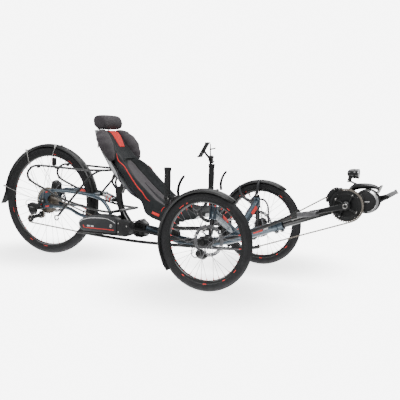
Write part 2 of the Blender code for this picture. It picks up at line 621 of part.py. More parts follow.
def headrest():
    base, post_dir = post_line()
    pieces = []
    for side in (1, -1):
        foot = base + Vector((0, side * POST_Y, 0))
        pieces.append(rod(foot, foot + post_dir * 0.118, 0.0042, 8))
    pieces.append(rod(base + post_dir * 0.112 + Vector((0, -0.052, 0)),
                      base + post_dir * 0.112 + Vector((0, 0.052, 0)), 0.0046, 8))
    node("headrest_frame", fuse(pieces), STEEL, base)
    bar = base + post_dir * 0.112
    outline = [(-0.848, 0.7850), (-0.856, 0.8180), (-0.846, 0.8380), (-0.822, 0.8460), (-0.798, 0.8400),
               (-0.780, 0.8080), (-0.786, 0.7780), (-0.806, 0.7690), (-0.832, 0.7740)]
    sections = []
    for y, share in ((-0.094, 0.72), (-0.080, 1.0), (0.080, 1.0), (0.094, 0.72)):
        middle = at(-0.8200, y, 0.8130)
        loop = [middle + (at(x, y, z) - middle) * share for x, z in outline]
        sections.append(loop)
    node("headrest_pad", loft(sections), FABRIC, bar)


# ---------------------------------------------------------------- boom, cranks and motor
def boom():
    pieces = [rod(BB - BOOM_DIR * 0.510, BB, BOOM_RADIUS, 16),
              rod(BB + Vector((0, -0.0360, 0)), BB + Vector((0, 0.0360, 0)), 0.0225, 16),
              tube([at(0.572, 0, 0.440), at(0.552, 0, 0.470), at(0.545, 0, 0.512)], 0.0140, 10, 2)]
    cuts = [rod(BB + Vector((0, -0.06, 0)), BB + Vector((0, 0.06, 0)), 0.0130, 16)]
    node("boom", fuse(pieces, cuts), BLACK, BB)


MOTOR = at(0.6850, 0, 0.4560)


def motor():
    """A drum ahead of the bottom bracket, held to it by two case plates."""
    drum = lathe([(0.044, -0.0375), (0.055, -0.0300), (0.055, 0.0440), (0.047, 0.0520)], MOTOR, Y_AXIS, 24)
    pieces = [drum]
    for low, high in ((-0.0445, -0.0363), (0.0363, 0.0460)):
        pieces.append(ring(BB, Y_AXIS, 0.0300, 0.0130, low, high, 16))
        outline = [(0.594 + 0.016, 0.430 + 0.022), (0.660, 0.492), (0.680, 0.440), (0.640, 0.412),
                   (0.594 + 0.012, 0.430 - 0.024)]
        pieces.append(plate(outline, low + 0.0004, high - 0.0004))
    node("motor_housing", fuse(pieces), BLACK, BB)


def accessory_arm():
    """Carries the headlamp and the front reflector over the motor."""
    arm = [at(0.592, 0, 0.4535), at(0.596, 0, 0.486), at(0.607, 0, 0.509), at(0.630, 0, 0.526),
           at(0.683, 0, 0.534), at(0.718, 0, 0.530), at(0.740, 0, 0.5160)]
    pieces = [tube(arm, 0.0080, 8, 1)]
    plate_side = [(0.7290, 0.4970), (0.7340, 0.4965), (0.7500, 0.5350), (0.7450, 0.5360)]
    pieces.append(plate(plate_side, -0.030, 0.030))
    pieces.append(tube([at(0.634, 0, 0.524), at(0.614, 0, 0.541), at(0.5925, 0, 0.5490)], 0.0050, 6, 2))
    pieces.append(rod(at(0.5900, -0.0095, 0.5500), at(0.5900, 0.0095, 0.5500), 0.0062, 8))
    node("accessory_arm", fuse(pieces), BLACK, BB)
    tilt = at(0.5900, 0, 0.5500)
    body = lathe([(0.0150, -0.0270), (0.0225, -0.0170), (0.0240, 0.0250), (0.0215, 0.0270)],
                 at(0.6100, 0, 0.5870), (1, 0, 0), 20)
    pieces = [body]
    for side in (1, -1):
        pieces.append(plate([(0.583, 0.5435), (0.597, 0.5435), (0.603, 0.572), (0.588, 0.572)],
                            side * 0.0098, side * 0.0125))
    node("headlamp", fuse(pieces), LAMP, tilt)


def crankset():
    """Spindle, spider and right arm in one; the rings and the left arm are bolted on."""
    reach = {1: turned(Vector((1, 0, 0)), CRANK_ANGLE) * CRANK_LENGTH}
    reach[-1] = -reach[1]
    ends = {side: BB + reach[side] for side in (1, -1)}

    def arm(side, inner, outer):
        across = turned(reach[side].normalized(), 90)
        sections = []
        for share, half in ((-0.04, 0.015), (0.25, 0.0125), (0.85, 0.0110), (1.05, 0.0120)):
            middle = BB + reach[side] * share
            sections.append([middle + across * w + Vector((0, side * y, 0))
                             for w, y in ((-half, inner), (half, inner), (half, outer), (-half, outer))])
        return loft(sections)

    right = [rod(BB + Vector((0, -0.0790, 0)), BB + Vector((0, 0.0650, 0)), 0.0118, 16),
             arm(-1, 0.0640, 0.0780),
             rod(BB + Vector((0, -0.0780, 0)), BB + Vector((0, -0.0520, 0)), 0.0210, 16)]
    for i in range(5):
        tip = polar(BB, 0.0580, CRANK_ANGLE + 72 * i, -0.0543)
        root = polar(BB, 0.0120, CRANK_ANGLE + 72 * i, -0.0555)
        right.append(rod(root, tip, 0.0022, 6))
    node("crank_right", fuse(right), BLACK, BB)
    left = [arm(1, 0.0665, 0.0805), rod(BB + Vector((0, 0.0653, 0)), BB + Vector((0, 0.0825, 0)), 0.0190, 16)]
    node("crank_left", fuse(left), BLACK, BB)
    rings = [(0.0480, -0.0515), (0.0772, -0.0515), (0.0772, -0.0485), (0.0600, -0.0485),
             (0.0590, -0.0455), (0.0480, -0.0455)]
    node("chainrings", lathe(rings, Vector((BB.x, 0, BB.z)), Y_AXIS, 32, ring=True), STEEL, BB)
    for tag, side, lean in (("right", -1, 8.0), ("left", 1, 48.0)):
        pedal(tag, side, ends[side], lean)


def pedal(tag, side, end, lean):
    """A caged platform on its own spindle."""
    length = turned(Vector((1, 0, 0)), lean)
    height = turned(Vector((0, 0, 1)), lean)

    def frame_loop(y, half, thick):
        return [end + length * a + height * b + Vector((0, side * y, 0))
                for a, b in ((-half, -thick), (half, -thick), (half, thick), (-half, thick))]

    pieces = [rod(end + Vector((0, side * 0.0814, 0)), end + Vector((0, side * 0.160, 0)), 0.0085, 10),
              loft([frame_loop(0.098, 0.044, 0.0115), frame_loop(0.102, 0.047, 0.0125),
                    frame_loop(0.158, 0.047, 0.0125), frame_loop(0.163, 0.042, 0.0105)])]
    cuts = []
    for sign in (1, -1):
        middle = end + length * sign * 0.026
        loops = []
        for b in (-0.03, 0.03):
            loops.append([middle + length * a + height * b + Vector((0, side * y, 0))
                          for a, y in ((-0.012, 0.106), (0.013, 0.106), (0.013, 0.153), (-0.012, 0.153))])
        cuts.append(loft(loops))
    node("pedal_" + tag, fuse(pieces, cuts), ALLOY, end)


def front_derailleur():
    """A cage round the chain's upper run, on a slider beside its post."""
    outline = [(0.498, 0.452), (0.511, 0.450), (0.560, 0.500), (0.575, 0.520), (0.545, 0.523), (0.503, 0.480)]
    pieces = [plate(outline, -0.0590, -0.0575), plate(outline, -0.0440, -0.0425),
              plate([(0.498, 0.452), (0.511, 0.450), (0.5125, 0.4545), (0.4995, 0.4570)], -0.0585, -0.0430),
              plate([(0.545, 0.5165), (0.572, 0.5135), (0.575, 0.520), (0.545, 0.523)], -0.0585, -0.0430),
              rod(at(0.547, -0.0435, 0.4980), at(0.547, -0.0160, 0.4980), 0.0080, 10)]
    node("front_derailleur", fuse(pieces), BLACK, at(0.547, -0.030, 0.498))


# ---------------------------------------------------------------- chain line
def belt_path(wheels, step):
    """Points of a belt round (x, z, radius, turn) wheels; turn is 1 against the clock, else -1."""
    lines = []
    for (x0, z0, r0, t0), (x1, z1, r1, t1) in zip(wheels, wheels[1:]):
        gap = Vector((x1 - x0, z1 - z0))
        heading = math.atan2(gap.y, gap.x) - math.asin((t1 * r1 - t0 * r0) / gap.length)
        lines.append(heading)
    points = []
    for i, (x, z, radius, turn) in enumerate(wheels):
        into = lines[max(0, i - 1)]
        away = lines[min(len(lines) - 1, i)]
        if radius == 0:
            points.append((x, z))
            continue
        sweep = (away - into) % (2 * math.pi) if turn > 0 else -((into - away) % (2 * math.pi))
        stops = max(1, math.ceil(abs(math.degrees(sweep)) / step))
        for j in range(stops + 1):
            heading = into + sweep * j / stops
            points.append((x + turn * radius * math.sin(heading), z - turn * radius * math.cos(heading)))
    return points


def strap(points, low_y, high_y, half):
    """A flat band through (x, z) points."""
    sections = []
    for i, (x, z) in enumerate(points):
        before, after = points[max(0, i - 1)], points[min(len(points) - 1, i + 1)]
        along = Vector((after[0] - before[0], after[1] - before[1])).normalized()
        out = Vector((-along.y, along.x)) * half
        sections.append([at(x + out.x, low_y, z + out.y), at(x + out.x, high_y, z + out.y),
                         at(x - out.x, high_y, z - out.y), at(x - out.x, low_y, z - out.y)])
    return loft(sections)


IDLER_RADIUS = 0.0275


def chain_tube(name, route, ends):
    """A guide tube with a flared, bored mouth where each chain end goes in."""
    for i, (end, before) in ends.items():
        along = Vector((before[0] - end[0], before[1] - end[1])).normalized()
        mouth, inside = Vector(end) + along * 0.014, Vector(end) - along * 0.012
        route = [mouth, inside, *route] if i == 0 else [*route, inside, mouth]
    path = [at(x, CHAIN_Y, z) for x, z in route]
    pieces = [tube(path, 0.0088, 6, 1)]
    cuts = []
    for end, inside in ((path[0], path[1]), (path[-1], path[-2])):
        along = (end - inside).normalized()
        pieces.append(rod(end - along * 0.004, end + along * 0.0015, 0.0120, 10))
        cuts.append(rod(end - along * 0.022, end + along * 0.01, 0.0066, 8))
    node(name, fuse(pieces, cuts), PLASTIC)


def chains():
    """The front loop round the rings, and the rear loop round the idler, cassette and pulleys."""
    front = belt_path([(0.346, 0.378, 0, 0), (BB_X, BB_Z, 0.0780 + CHAIN_HALF, -1), (0.136, 0.1800, 0, 0)], 10)
    low, high = CHAIN_Y - 0.003, CHAIN_Y + 0.003
    node("chain_front", strap(front, low, high, CHAIN_HALF), CHAIN_STEEL, BB)
    mid = 0.0005 + CHAIN_HALF
    rear = belt_path([(-0.674, 0.2177, 0, 0), (PIVOT_X, PIVOT_Z, IDLER_RADIUS + mid, -1),
                      (-WHEELBASE, REAR_RADIUS, 0.0355 + CHAIN_HALF, 1), (*GUIDE, PULLEY + mid, -1),
                      (*TENSION, PULLEY + mid, 1), (-0.968, 0.1580, 0, 0)], 15)
    node("chain_rear", strap(rear, low, high, CHAIN_HALF), CHAIN_STEEL, PIVOT)
    upper = [(0.280, 0.3390), (0.200, 0.3000), (0.090, 0.2520), (0.0, 0.2150), (-0.110, 0.1860),
             (-0.260, 0.1760), (-0.420, 0.1870), (-0.560, 0.2060)]
    chain_tube("chain_tube_upper", upper, {0: (front[0], front[1]), 1: (rear[0], rear[1])})
    lower = [(0.0, 0.1570), (-0.187, 0.1480), (-0.452, 0.1405), (-0.620, 0.1405), (-0.800, 0.1480)]
    chain_tube("chain_tube_lower", lower, {0: (front[-1], front[-2]), 1: (rear[-1], rear[-2])})


def idler():
    hub = Vector((PIVOT.x, CHAIN_Y, PIVOT.z))
    node("chain_idler", ring(hub, Y_AXIS, IDLER_RADIUS, 0.0092, -0.0055, 0.0055, 20), PLASTIC, PIVOT)


# ---------------------------------------------------------------- rear end
GUIDE = (-1.2560, 0.2430)
TENSION = (-1.3310, 0.2090)
PULLEY = 0.0185


def swing_arm():
    """Dropouts, upper and lower stays, the pivot axle and the shock bridge."""
    pieces = [rod(at(PIVOT_X, -0.0800, PIVOT_Z), at(PIVOT_X, 0.0800, PIVOT_Z), 0.0085, 14),
              rod(REAR_AXLE + Vector((0, -0.0790, 0)), REAR_AXLE + Vector((0, 0.0790, 0)), 0.0060, 12),
              rod(at(-0.862, -0.0690, 0.3900), at(-0.862, 0.0690, 0.3900), 0.0080, 10)]
    for side in (1, -1):
        low_y, high_y = sorted((side * 0.0665, side * 0.0725))
        dropout = [(-1.262, 0.326), (-1.238, 0.372), (-1.150, 0.404), (-1.138, 0.388), (-1.190, 0.356),
                   (-1.188, 0.318), (-1.140, 0.304), (-1.142, 0.290), (-1.214, 0.284), (-1.250, 0.292)]
        pieces.append(plate(dropout, low_y, high_y))
        upper = [(-1.145, 0.3955), (-1.060, 0.3965), (-0.960, 0.3920), (-0.862, 0.3800), (-0.800, 0.3560),
                 (-0.757, 0.3060), (PIVOT_X, PIVOT_Z)]
        lower = [(-1.150, 0.2975), (-1.046, 0.2980), (-0.955, 0.2640), (-0.840, 0.2420), (PIVOT_X, PIVOT_Z)]
        y = side * 0.0695
        pieces.append(tube([at(x, y, z) for x, z in upper], 0.0100, 8, 1))
        pieces.append(tube([at(x, y, z) for x, z in lower], 0.0090, 8, 1))
        pieces.append(rod(at(PIVOT_X, side * 0.0590, PIVOT_Z), at(PIVOT_X, side * 0.0800, PIVOT_Z), 0.0170, 14))
    caliper_side = [(-1.262, 0.390), (-1.250, 0.438), (-1.222, 0.448), (-1.190, 0.430), (-1.188, 0.400),
                    (-1.200, 0.370), (-1.225, 0.365), (-1.222, 0.392)]
    pieces.append(plate(caliper_side, 0.0440, 0.0680))
    slot = [(-1.28, 0.30), (-1.28, 0.409), (-1.15, 0.409), (-1.15, 0.30)]
    node("swing_arm", fuse(pieces, [plate(slot, 0.0500, 0.0580)]), FRAME_PAINT, PIVOT)


def cassette():
    """Stepped sprockets, largest inside; the chain runs on the small one in its plane."""
    steps = [(0.0830, -0.0240, -0.0275), (0.0730, -0.0275, -0.0315), (0.0630, -0.0315, -0.0355),
             (0.0530, -0.0355, -0.0395), (0.0440, -0.0395, -0.0460), (0.0350, -0.0460, -0.0545),
             (0.0270, -0.0545, -0.0620)]
    profile = [(0.0070, -0.0240)]
    for radius, inside, outside in steps:
        profile.append((radius, inside))
        profile.append((radius, outside))
    profile.append((0.0070, -0.0620))
    middle = Vector((REAR_AXLE.x, 0, REAR_AXLE.z))
    node("cassette", lathe(profile, middle, Y_AXIS, 22, ring=True), STEEL, REAR_AXLE)


def rear_derailleur():
    """The body hangs from the right dropout; the cage turns at its lower knuckle."""
    knee = at(-1.2850, 0, 0.2560)
    pieces = [rod(at(-1.238, -0.0735, 0.2890), at(-1.238, -0.0900, 0.2890), 0.0125, 12),
              plate([(-1.226, 0.278), (-1.232, 0.302), (-1.300, 0.306), (-1.330, 0.296), (-1.322, 0.272),
                     (-1.280, 0.272)], -0.0890, -0.0745),
              rod(Vector((knee.x - 0.012, -0.0890, knee.z + 0.006)),
                  Vector((knee.x - 0.012, -0.0600, knee.z + 0.006)), 0.0170, 12)]
    node("rear_derailleur", fuse(pieces), BLACK, PIVOT)
    pieces = []
    for low, high in ((-0.0590, -0.0570), (-0.0430, -0.0410)):
        for x, z in (GUIDE, TENSION):
            pieces.append(rod(at(x, low, z), at(x, high, z), 0.0125, 8))
        outline = [(GUIDE[0] + 0.004, GUIDE[1] - 0.011), (GUIDE[0] - 0.004, GUIDE[1] + 0.011),
                   (TENSION[0] - 0.004, TENSION[1] + 0.011), (TENSION[0] + 0.004, TENSION[1] - 0.011)]
        pieces.append(plate(outline, low + 0.0002, high - 0.0002))
    for x, z in (GUIDE, TENSION):
        pieces.append(rod(at(x, -0.0580, z), at(x, -0.0420, z), 0.0050, 6))
        pieces.append(rod(at(x, CHAIN_Y - 0.003, z), at(x, CHAIN_Y + 0.003, z), PULLEY, 12))
    node("derailleur_cage", fuse(pieces), BLACK, Vector((knee.x, -0.05, knee.z)))


def rear_mudguard():
    shell = mudguard_shell(REAR_AXLE, 0.3460, 0.0310, -27, 176.5, 18)
    flap = []
    for angle, rise in ((174.5, 0.0005), (179, 0.0075), (183, 0.0190), (187.2, 0.0360)):
        flap.append([polar(REAR_AXLE, 0.3445 + rise + lift, angle, y)
                     for y, lift in ((-0.0290, -0.0075), (0.0, 0.0), (0.0290, -0.0075), (0.0280, -0.0105),
                                     (0.0, -0.0030), (-0.0280, -0.0105))])
    pieces = [shell, loft(flap)]
    for side in (1, -1):
        for angle in (80, 118, 168):
            edge = polar(REAR_AXLE, 0.3350, angle, side * 0.0302)
            pieces.append(tube([polar(REAR_AXLE, 0.0150, angle, side * 0.0770),
                                polar(REAR_AXLE, 0.1400, angle, side * 0.0800), edge], 0.0017, 4, 1))
        pieces.append(rod(Vector((REAR_AXLE.x, side * 0.0798, REAR_AXLE.z)),
                          Vector((REAR_AXLE.x, side * 0.0738, REAR_AXLE.z)), 0.0200, 12))
    cuts = [rod(REAR_AXLE + Vector((0, -0.12, 0)), REAR_AXLE + Vector((0, 0.12, 0)), 0.0100, 10)]
    node("rear_mudguard", fuse(pieces, cuts), PLASTIC, PIVOT)


def shock():
    """The damper body hangs on the frame's lug; its shaft ends in an eye round the swing arm's bridge."""
    front, rear = at(-0.768, 0, 0.3560), at(-0.862, 0, 0.3900)
    along = (rear - front).normalized()
    body = [rod(front + along * 0.0120, front + along * 0.0620, 0.0165, 16)]
    for side in (1, -1):
        side_y = Vector((0, side * 0.0072, 0))
        body.append(rod(front + side_y - along * 0.006, front + side_y + along * 0.016, 0.0016, 6))
    body.append(rod(front + Vector((0, -0.0088, 0)), front + Vector((0, -0.0056, 0)), 0.0085, 10))
    body.append(rod(front + Vector((0, 0.0056, 0)), front + Vector((0, 0.0088, 0)), 0.0085, 10))
    cuts = [rod(front + along * 0.0375, front + along * 0.070, 0.0105, 14)]
    node("shock_body", fuse(body, cuts), ALLOY, front)
    shaft = [rod(front + along * 0.0500, rear - along * 0.0100, 0.0095, 12),
             rod(rear + Vector((0, -0.010, 0)), rear + Vector((0, 0.010, 0)), 0.0145, 14)]
    eye_bore = rod(rear + Vector((0, -0.02, 0)), rear + Vector((0, 0.02, 0)), 0.0100, 12)
    node("shock_shaft", fuse(shaft, [eye_bore]), ALLOY, front)


def battery():
    """The pack slides forward on a rail into its holder."""
    low, high = -0.1540, -0.0860
    outline = [(-0.915, 0.2360), (-0.905, 0.2060), (-0.880, 0.1850), (-0.6560, 0.1850), (-0.6560, 0.2660),
               (-0.690, 0.2860), (-0.720, 0.2900), (-0.820, 0.2830), (-0.885, 0.2620)]
    node("battery", plate(outline, low, high), GREY_PLASTIC, at(-0.915, -0.12, 0.2360))
    pieces = [plate([(-0.6555, 0.1790), (-0.6555, 0.2650), (-0.635, 0.2650), (-0.580, 0.2560),
                     (-0.578, 0.1900), (-0.590, 0.1790)], -0.1500, -0.0870),
              plate([(-0.890, 0.1760), (-0.890, 0.1845), (-0.600, 0.1845), (-0.600, 0.1760)], -0.1480, -0.0920),
              plate([(-0.740, 0.1762), (-0.740, 0.2000), (-0.600, 0.2100), (-0.600, 0.1762)], -0.0850, -0.0745)]
    pieces.append(plate([(-0.655, 0.1800), (-0.655, 0.2080), (-0.600, 0.2080), (-0.600, 0.1800)], -0.0880, -0.0750))
    pieces.append(plate([(-0.740, 0.1765), (-0.740, 0.1840), (-0.600, 0.1840), (-0.600, 0.1765)], -0.0930, -0.0750))
    node("battery_dock", fuse(pieces), PLASTIC)


def cable_bundle():
    """Brake hoses and shift cables, spiral-wrapped, from the left arm to the boom's socket."""
    route = [at(0.028, 0.300, 0.3950), at(0.062, 0.268, 0.3930), at(0.100, 0.215, 0.3700),
             at(0.130, 0.140, 0.3480), at(0.155, 0.070, 0.3250), at(0.168, 0.036, 0.3020)]
    node("cable_bundle", tube(route, 0.0050, 6, 2), PLASTIC)


def build():
    clear_scene()
    for tag, side in (("left", 1), ("right", -1)):
        front_wheel(tag, side)
        knuckle(tag, side)
    rear_wheel()
    main_frame()
    rear_frame()
    fold_hinge()
    rack()
    seat_shell()
    seat_pad()
    wing_pads()
    headrest()
    handlebar()
    phone_cradle()
    boom()
    motor()
    accessory_arm()
    crankset()
    front_derailleur()
    chains()
    idler()
    swing_arm()
    cassette()
    rear_derailleur()
    rear_mudguard()
    shock()
    battery()
    cable_bundle()


build()
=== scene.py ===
import math

import bmesh
import bpy
from mathutils import Matrix, Vector
from mathutils.bvhtree import BVHTree


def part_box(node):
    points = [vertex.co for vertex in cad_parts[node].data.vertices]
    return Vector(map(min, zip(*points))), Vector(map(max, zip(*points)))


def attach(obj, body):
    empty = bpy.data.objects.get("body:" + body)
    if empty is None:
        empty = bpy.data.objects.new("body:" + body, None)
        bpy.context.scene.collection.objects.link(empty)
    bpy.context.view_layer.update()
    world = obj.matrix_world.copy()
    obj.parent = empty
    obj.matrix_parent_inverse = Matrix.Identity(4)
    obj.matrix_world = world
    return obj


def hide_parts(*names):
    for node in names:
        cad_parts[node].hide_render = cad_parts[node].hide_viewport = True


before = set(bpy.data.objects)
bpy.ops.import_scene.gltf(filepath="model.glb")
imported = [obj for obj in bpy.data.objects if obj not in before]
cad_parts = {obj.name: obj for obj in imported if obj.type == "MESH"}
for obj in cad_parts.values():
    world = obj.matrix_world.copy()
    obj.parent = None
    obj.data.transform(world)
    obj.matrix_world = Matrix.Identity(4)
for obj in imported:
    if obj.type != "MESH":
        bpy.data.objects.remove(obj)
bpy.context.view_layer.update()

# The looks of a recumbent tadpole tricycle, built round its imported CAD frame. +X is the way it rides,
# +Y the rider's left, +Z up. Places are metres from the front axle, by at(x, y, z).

NEAR_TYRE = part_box("tyre_right")
X0 = (NEAR_TYRE[0].x + NEAR_TYRE[1].x) / 2
X = Vector((1, 0, 0))
Y = Vector((0, 1, 0))
Z = Vector((0, 0, 1))
SIDES = (("left", 1), ("right", -1))
KING_Y = 0.3975                             # where a kingpin's line meets the ground
KING_LEAN = math.tan(math.radians(12.6))
DISC_Y = KING_Y - 0.0375
SPOKES = 36
CRANK = 0.174
CRANK_ANGLE = 15.3
GRIP_X, GRIP_Y = -0.277, 0.276
CHAIN_Y = -0.05
CHAIN_PITCH = 0.0127


def at(x, y, z):
    return Vector((X0 + x, y, z))


def middle(node):
    low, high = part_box(node)
    return (low + high) / 2


def polar(centre, radius, degrees, y=0.0):
    """A place round a Y axis, positive from +X towards +Z; y is added to the centre's."""
    angle = math.radians(degrees)
    return Vector((centre.x + radius * math.cos(angle), centre.y + y, centre.z + radius * math.sin(angle)))


# ------------------------------------------------------------------ shapes: (vertices, faces)
def lathe(profile, origin, axis=Y, steps=64, ring=False, first=0.0, sweep=360.0):
    """Turn (radius, along) points about an axis, all the way or through part of a turn."""
    axis = Vector(axis).normalized()
    start = Z if abs(axis.z) < 0.9 else X
    side = (start - axis * start.dot(axis)).normalized()
    up = axis.cross(side)
    whole = sweep >= 360
    rows = steps if whole else steps + 1
    verts, faces, n = [], [], len(profile)
    for i in range(rows):
        angle = math.radians(first + sweep * i / steps)
        out = side * math.cos(angle) + up * math.sin(angle)
        verts += [Vector(origin) + axis * along + out * radius for radius, along in profile]
    for i in range(steps):
        a, b = i * n, ((i + 1) % rows) * n
        for j in range(n if ring else n - 1):
            k = (j + 1) % n
            faces.append((a + j, a + k, b + k, b + j))
    if whole and not ring:
        faces.append([i * n for i in range(rows)])
        faces.append([i * n + n - 1 for i in range(rows)])
    if not whole:
        faces += [tuple(range(n)), tuple(range(rows * n - n, rows * n))]
    return verts, faces


def loft(sections, closed=False):
    n = len(sections[0])
    verts = [Vector(p) for section in sections for p in section]
    faces = []
    for i in range(len(sections) if closed else len(sections) - 1):
        a, b = i * n, ((i + 1) % len(sections)) * n
        faces += [(a + j, a + (j + 1) % n, b + (j + 1) % n, b + j) for j in range(n)]
    if not closed:
        faces += [tuple(range(n)), tuple(range(len(verts) - n, len(verts)))]
    return verts, faces


def sheet_of(rows):
    """An open skin over rows of points."""
    n = len(rows[0])
    verts = [Vector(p) for row in rows for p in row]
    faces = [(i * n + j, i * n + j + 1, (i + 1) * n + j + 1, (i + 1) * n + j) for i in range(len(rows) - 1)
             for j in range(n - 1)]
    return verts, faces


def smooth_path(points, steps):
    """Points along one smooth curve through the given ones."""
    points = [Vector(p) for p in points]
    last = len(points) - 1
    path = []
    for i in range(last):
        a, b, c, d = (points[max(0, min(last, i + k))] for k in (-1, 0, 1, 2))
        for j in range(steps):
            t = j / steps
            path.append(b + (c - a) * (0.5 * t) + (a * 2 - b * 5 + c * 4 - d) * (0.5 * t * t)
                        + ((b - c) * 3 + d - a) * (0.5 * t * t * t))
    return path + [points[-1]]


def sweep(path, section):
    """Carry a section, a list or a function of 0..1 giving one, along a path of points."""
    count = len(path)
    sections, side = [], None
    for i, point in enumerate(path):
        before, after = path[max(0, i - 1)], path[min(count - 1, i + 1)]
        along = (after - before).normalized()
        if side is None:
            side = along.cross(Y)
            side = (side if side.length > 0.1 else along.cross(Z)).normalized()
        side = (side - along * side.dot(along)).normalized()
        up = along.cross(side)
        shape = section(i / (count - 1)) if callable(section) else section
        sections.append([point + side * u + up * v for u, v in shape])
    return loft(sections)


def circle(radius, sides):
    return [(radius * math.cos(2 * math.pi * i / sides), radius * math.sin(2 * math.pi * i / sides))
            for i in range(sides)]


def tube(points, radius, sides=14, steps=5):
    path = smooth_path(points, steps)
    if not callable(radius):
        return sweep(path, circle(radius, sides))
    return sweep(path, lambda t: circle(radius(t), sides))


def rod(start, end, radius, sides=16, end_radius=None, round_off=0.0):
    """A straight bar, with its rims rounded off if asked."""
    start, end = Vector(start), Vector(end)
    along = end - start
    last = radius if end_radius is None else end_radius
    if round_off:
        profile = [(radius - round_off, 0), (radius, round_off), (last, along.length - round_off),
                   (last - round_off, along.length)]
    else:
        profile = [(radius, 0), (last, along.length)]
    return lathe(profile, start, along, sides)


def ring(centre, axis, outer, inner, low, high, steps=32):
    return lathe([(inner, low), (outer, low), (outer, high), (inner, high)], centre, axis, steps, ring=True)


def bar_section(thick, wide, taper):
    """A flat bar's section, narrowing along its run."""
    return lambda t: [(u * thick, v * (wide - taper * t)) for u, v in ((-1, -1), (1, -1), (1, 1), (-1, 1))]


def plate(outline, low_y, high_y):
    """An (x, z) outline from the front axle, carried across Y."""
    return loft([[at(x, y, z) for x, z in outline] for y in (low_y, high_y)])


def block(low, high):
    xs, ys, zs = ((low[i], high[i]) for i in range(3))
    return loft([[Vector((x, ys[0], zs[0])), Vector((x, ys[1], zs[0])), Vector((x, ys[1], zs[1])),
                  Vector((x, ys[0], zs[1]))] for x in xs])


def patch(start, end, radius, first, last, lift=0.0004):
    """A sticker on a round tube between two places, from one angle round it to another."""
    start, end = Vector(start), Vector(end)
    along = (end - start).normalized()
    side = (Z - along * Z.dot(along)).normalized()
    up = along.cross(side)
    rows = []
    for place in (start, end):
        row = []
        for i in range(9):
            angle = math.radians(first + (last - first) * i / 8)
            row.append(place + (side * math.cos(angle) + up * math.sin(angle)) * (radius + lift))
        rows.append(row)
    return sheet_of(rows)


def bolt(place, axis, radius=0.004, height=0.0035):
    """A button head with a hexagon socket."""
    axis = Vector(axis).normalized()
    profile = [(radius, 0), (radius, height * 0.4), (radius * 0.8, height * 0.85), (radius * 0.55, height),
               (radius * 0.45, height), (radius * 0.42, height * 0.45)]
    return lathe(profile, place, axis, 12)


def toothed(centre, teeth, root, tip, inner, low, high):
    """A sprocket: a flat toothed ring."""
    outline = []
    for i in range(teeth):
        for share, radius in ((-0.5, root), (-0.32, root), (-0.1, tip), (0.1, tip), (0.32, root)):
            outline.append((radius, 360 * (i + share) / teeth))
    rows = []
    for y, edge in ((low, inner), (low, None), (high, None), (high, inner)):
        rows.append([polar(centre, edge or radius, angle, y) for radius, angle in outline])
    return loft(rows, closed=True)


def turned(vector, degrees):
    angle = math.radians(degrees)
    return Vector((vector.x * math.cos(angle) - vector.z * math.sin(angle), vector.y,
                   vector.x * math.sin(angle) + vector.z * math.cos(angle)))


# ------------------------------------------------------------------ pieces
def bake(item):
    graph = bpy.context.evaluated_depsgraph_get()
    mesh = bpy.data.meshes.new_from_object(item.evaluated_get(graph))
    item.modifiers.clear()
    item.data = mesh


def build(parts, origin=None, bevel=0.0, thicken=0.0):
    """One mesh object out of (vertices, faces) parts."""
    verts, faces = [], []
    for part_verts, part_faces in parts:
        base = len(verts)
        verts += part_verts
        faces += [tuple(base + i for i in face) for face in part_faces]
    origin = Vector(origin) if origin is not None else Vector((0, 0, 0))
    mesh = bpy.data.meshes.new("piece")
    mesh.from_pydata([v - origin for v in verts], [], faces)
    bm = bmesh.new()
    bm.from_mesh(mesh)
    bmesh.ops.recalc_face_normals(bm, faces=bm.faces)
    bm.to_mesh(mesh)
    bm.free()
    item = bpy.data.objects.new("piece", mesh)
    item.location = origin
    bpy.context.scene.collection.objects.link(item)
    if thicken:
        solid = item.modifiers.new("solid", "SOLIDIFY")
        solid.thickness = thicken
        solid.offset = 0
    if bevel:
        edge = item.modifiers.new("bevel", "BEVEL")
        edge.width = bevel
        edge.segments = 2
        edge.limit_method = "ANGLE"
        edge.angle_limit = math.radians(35)
    if item.modifiers:
        bake(item)
    return item


def dress(item, name, finish, body, replaces=(), angle=38):
    """Name a piece, shade it, give it its finish, and make it ride."""
    item.name = name
    item.data.name = name
    item.data.materials.clear()
    item.data.materials.append(finish)
    item.data.shade_smooth()
    if angle < 180:
        item.data.set_sharp_from_angle(angle=math.radians(angle))
    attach(item, body)
    if replaces:
        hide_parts(*replaces)
    return item


def make(name, parts, finish, body, slot=None, replaces=(), angle=38, **how):
    return dress(build(parts, **how), name, finish, body, replaces, angle)


def repaint(node, finish):
    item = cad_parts[node]
    item.data.materials.clear()
    item.data.materials.append(finish)


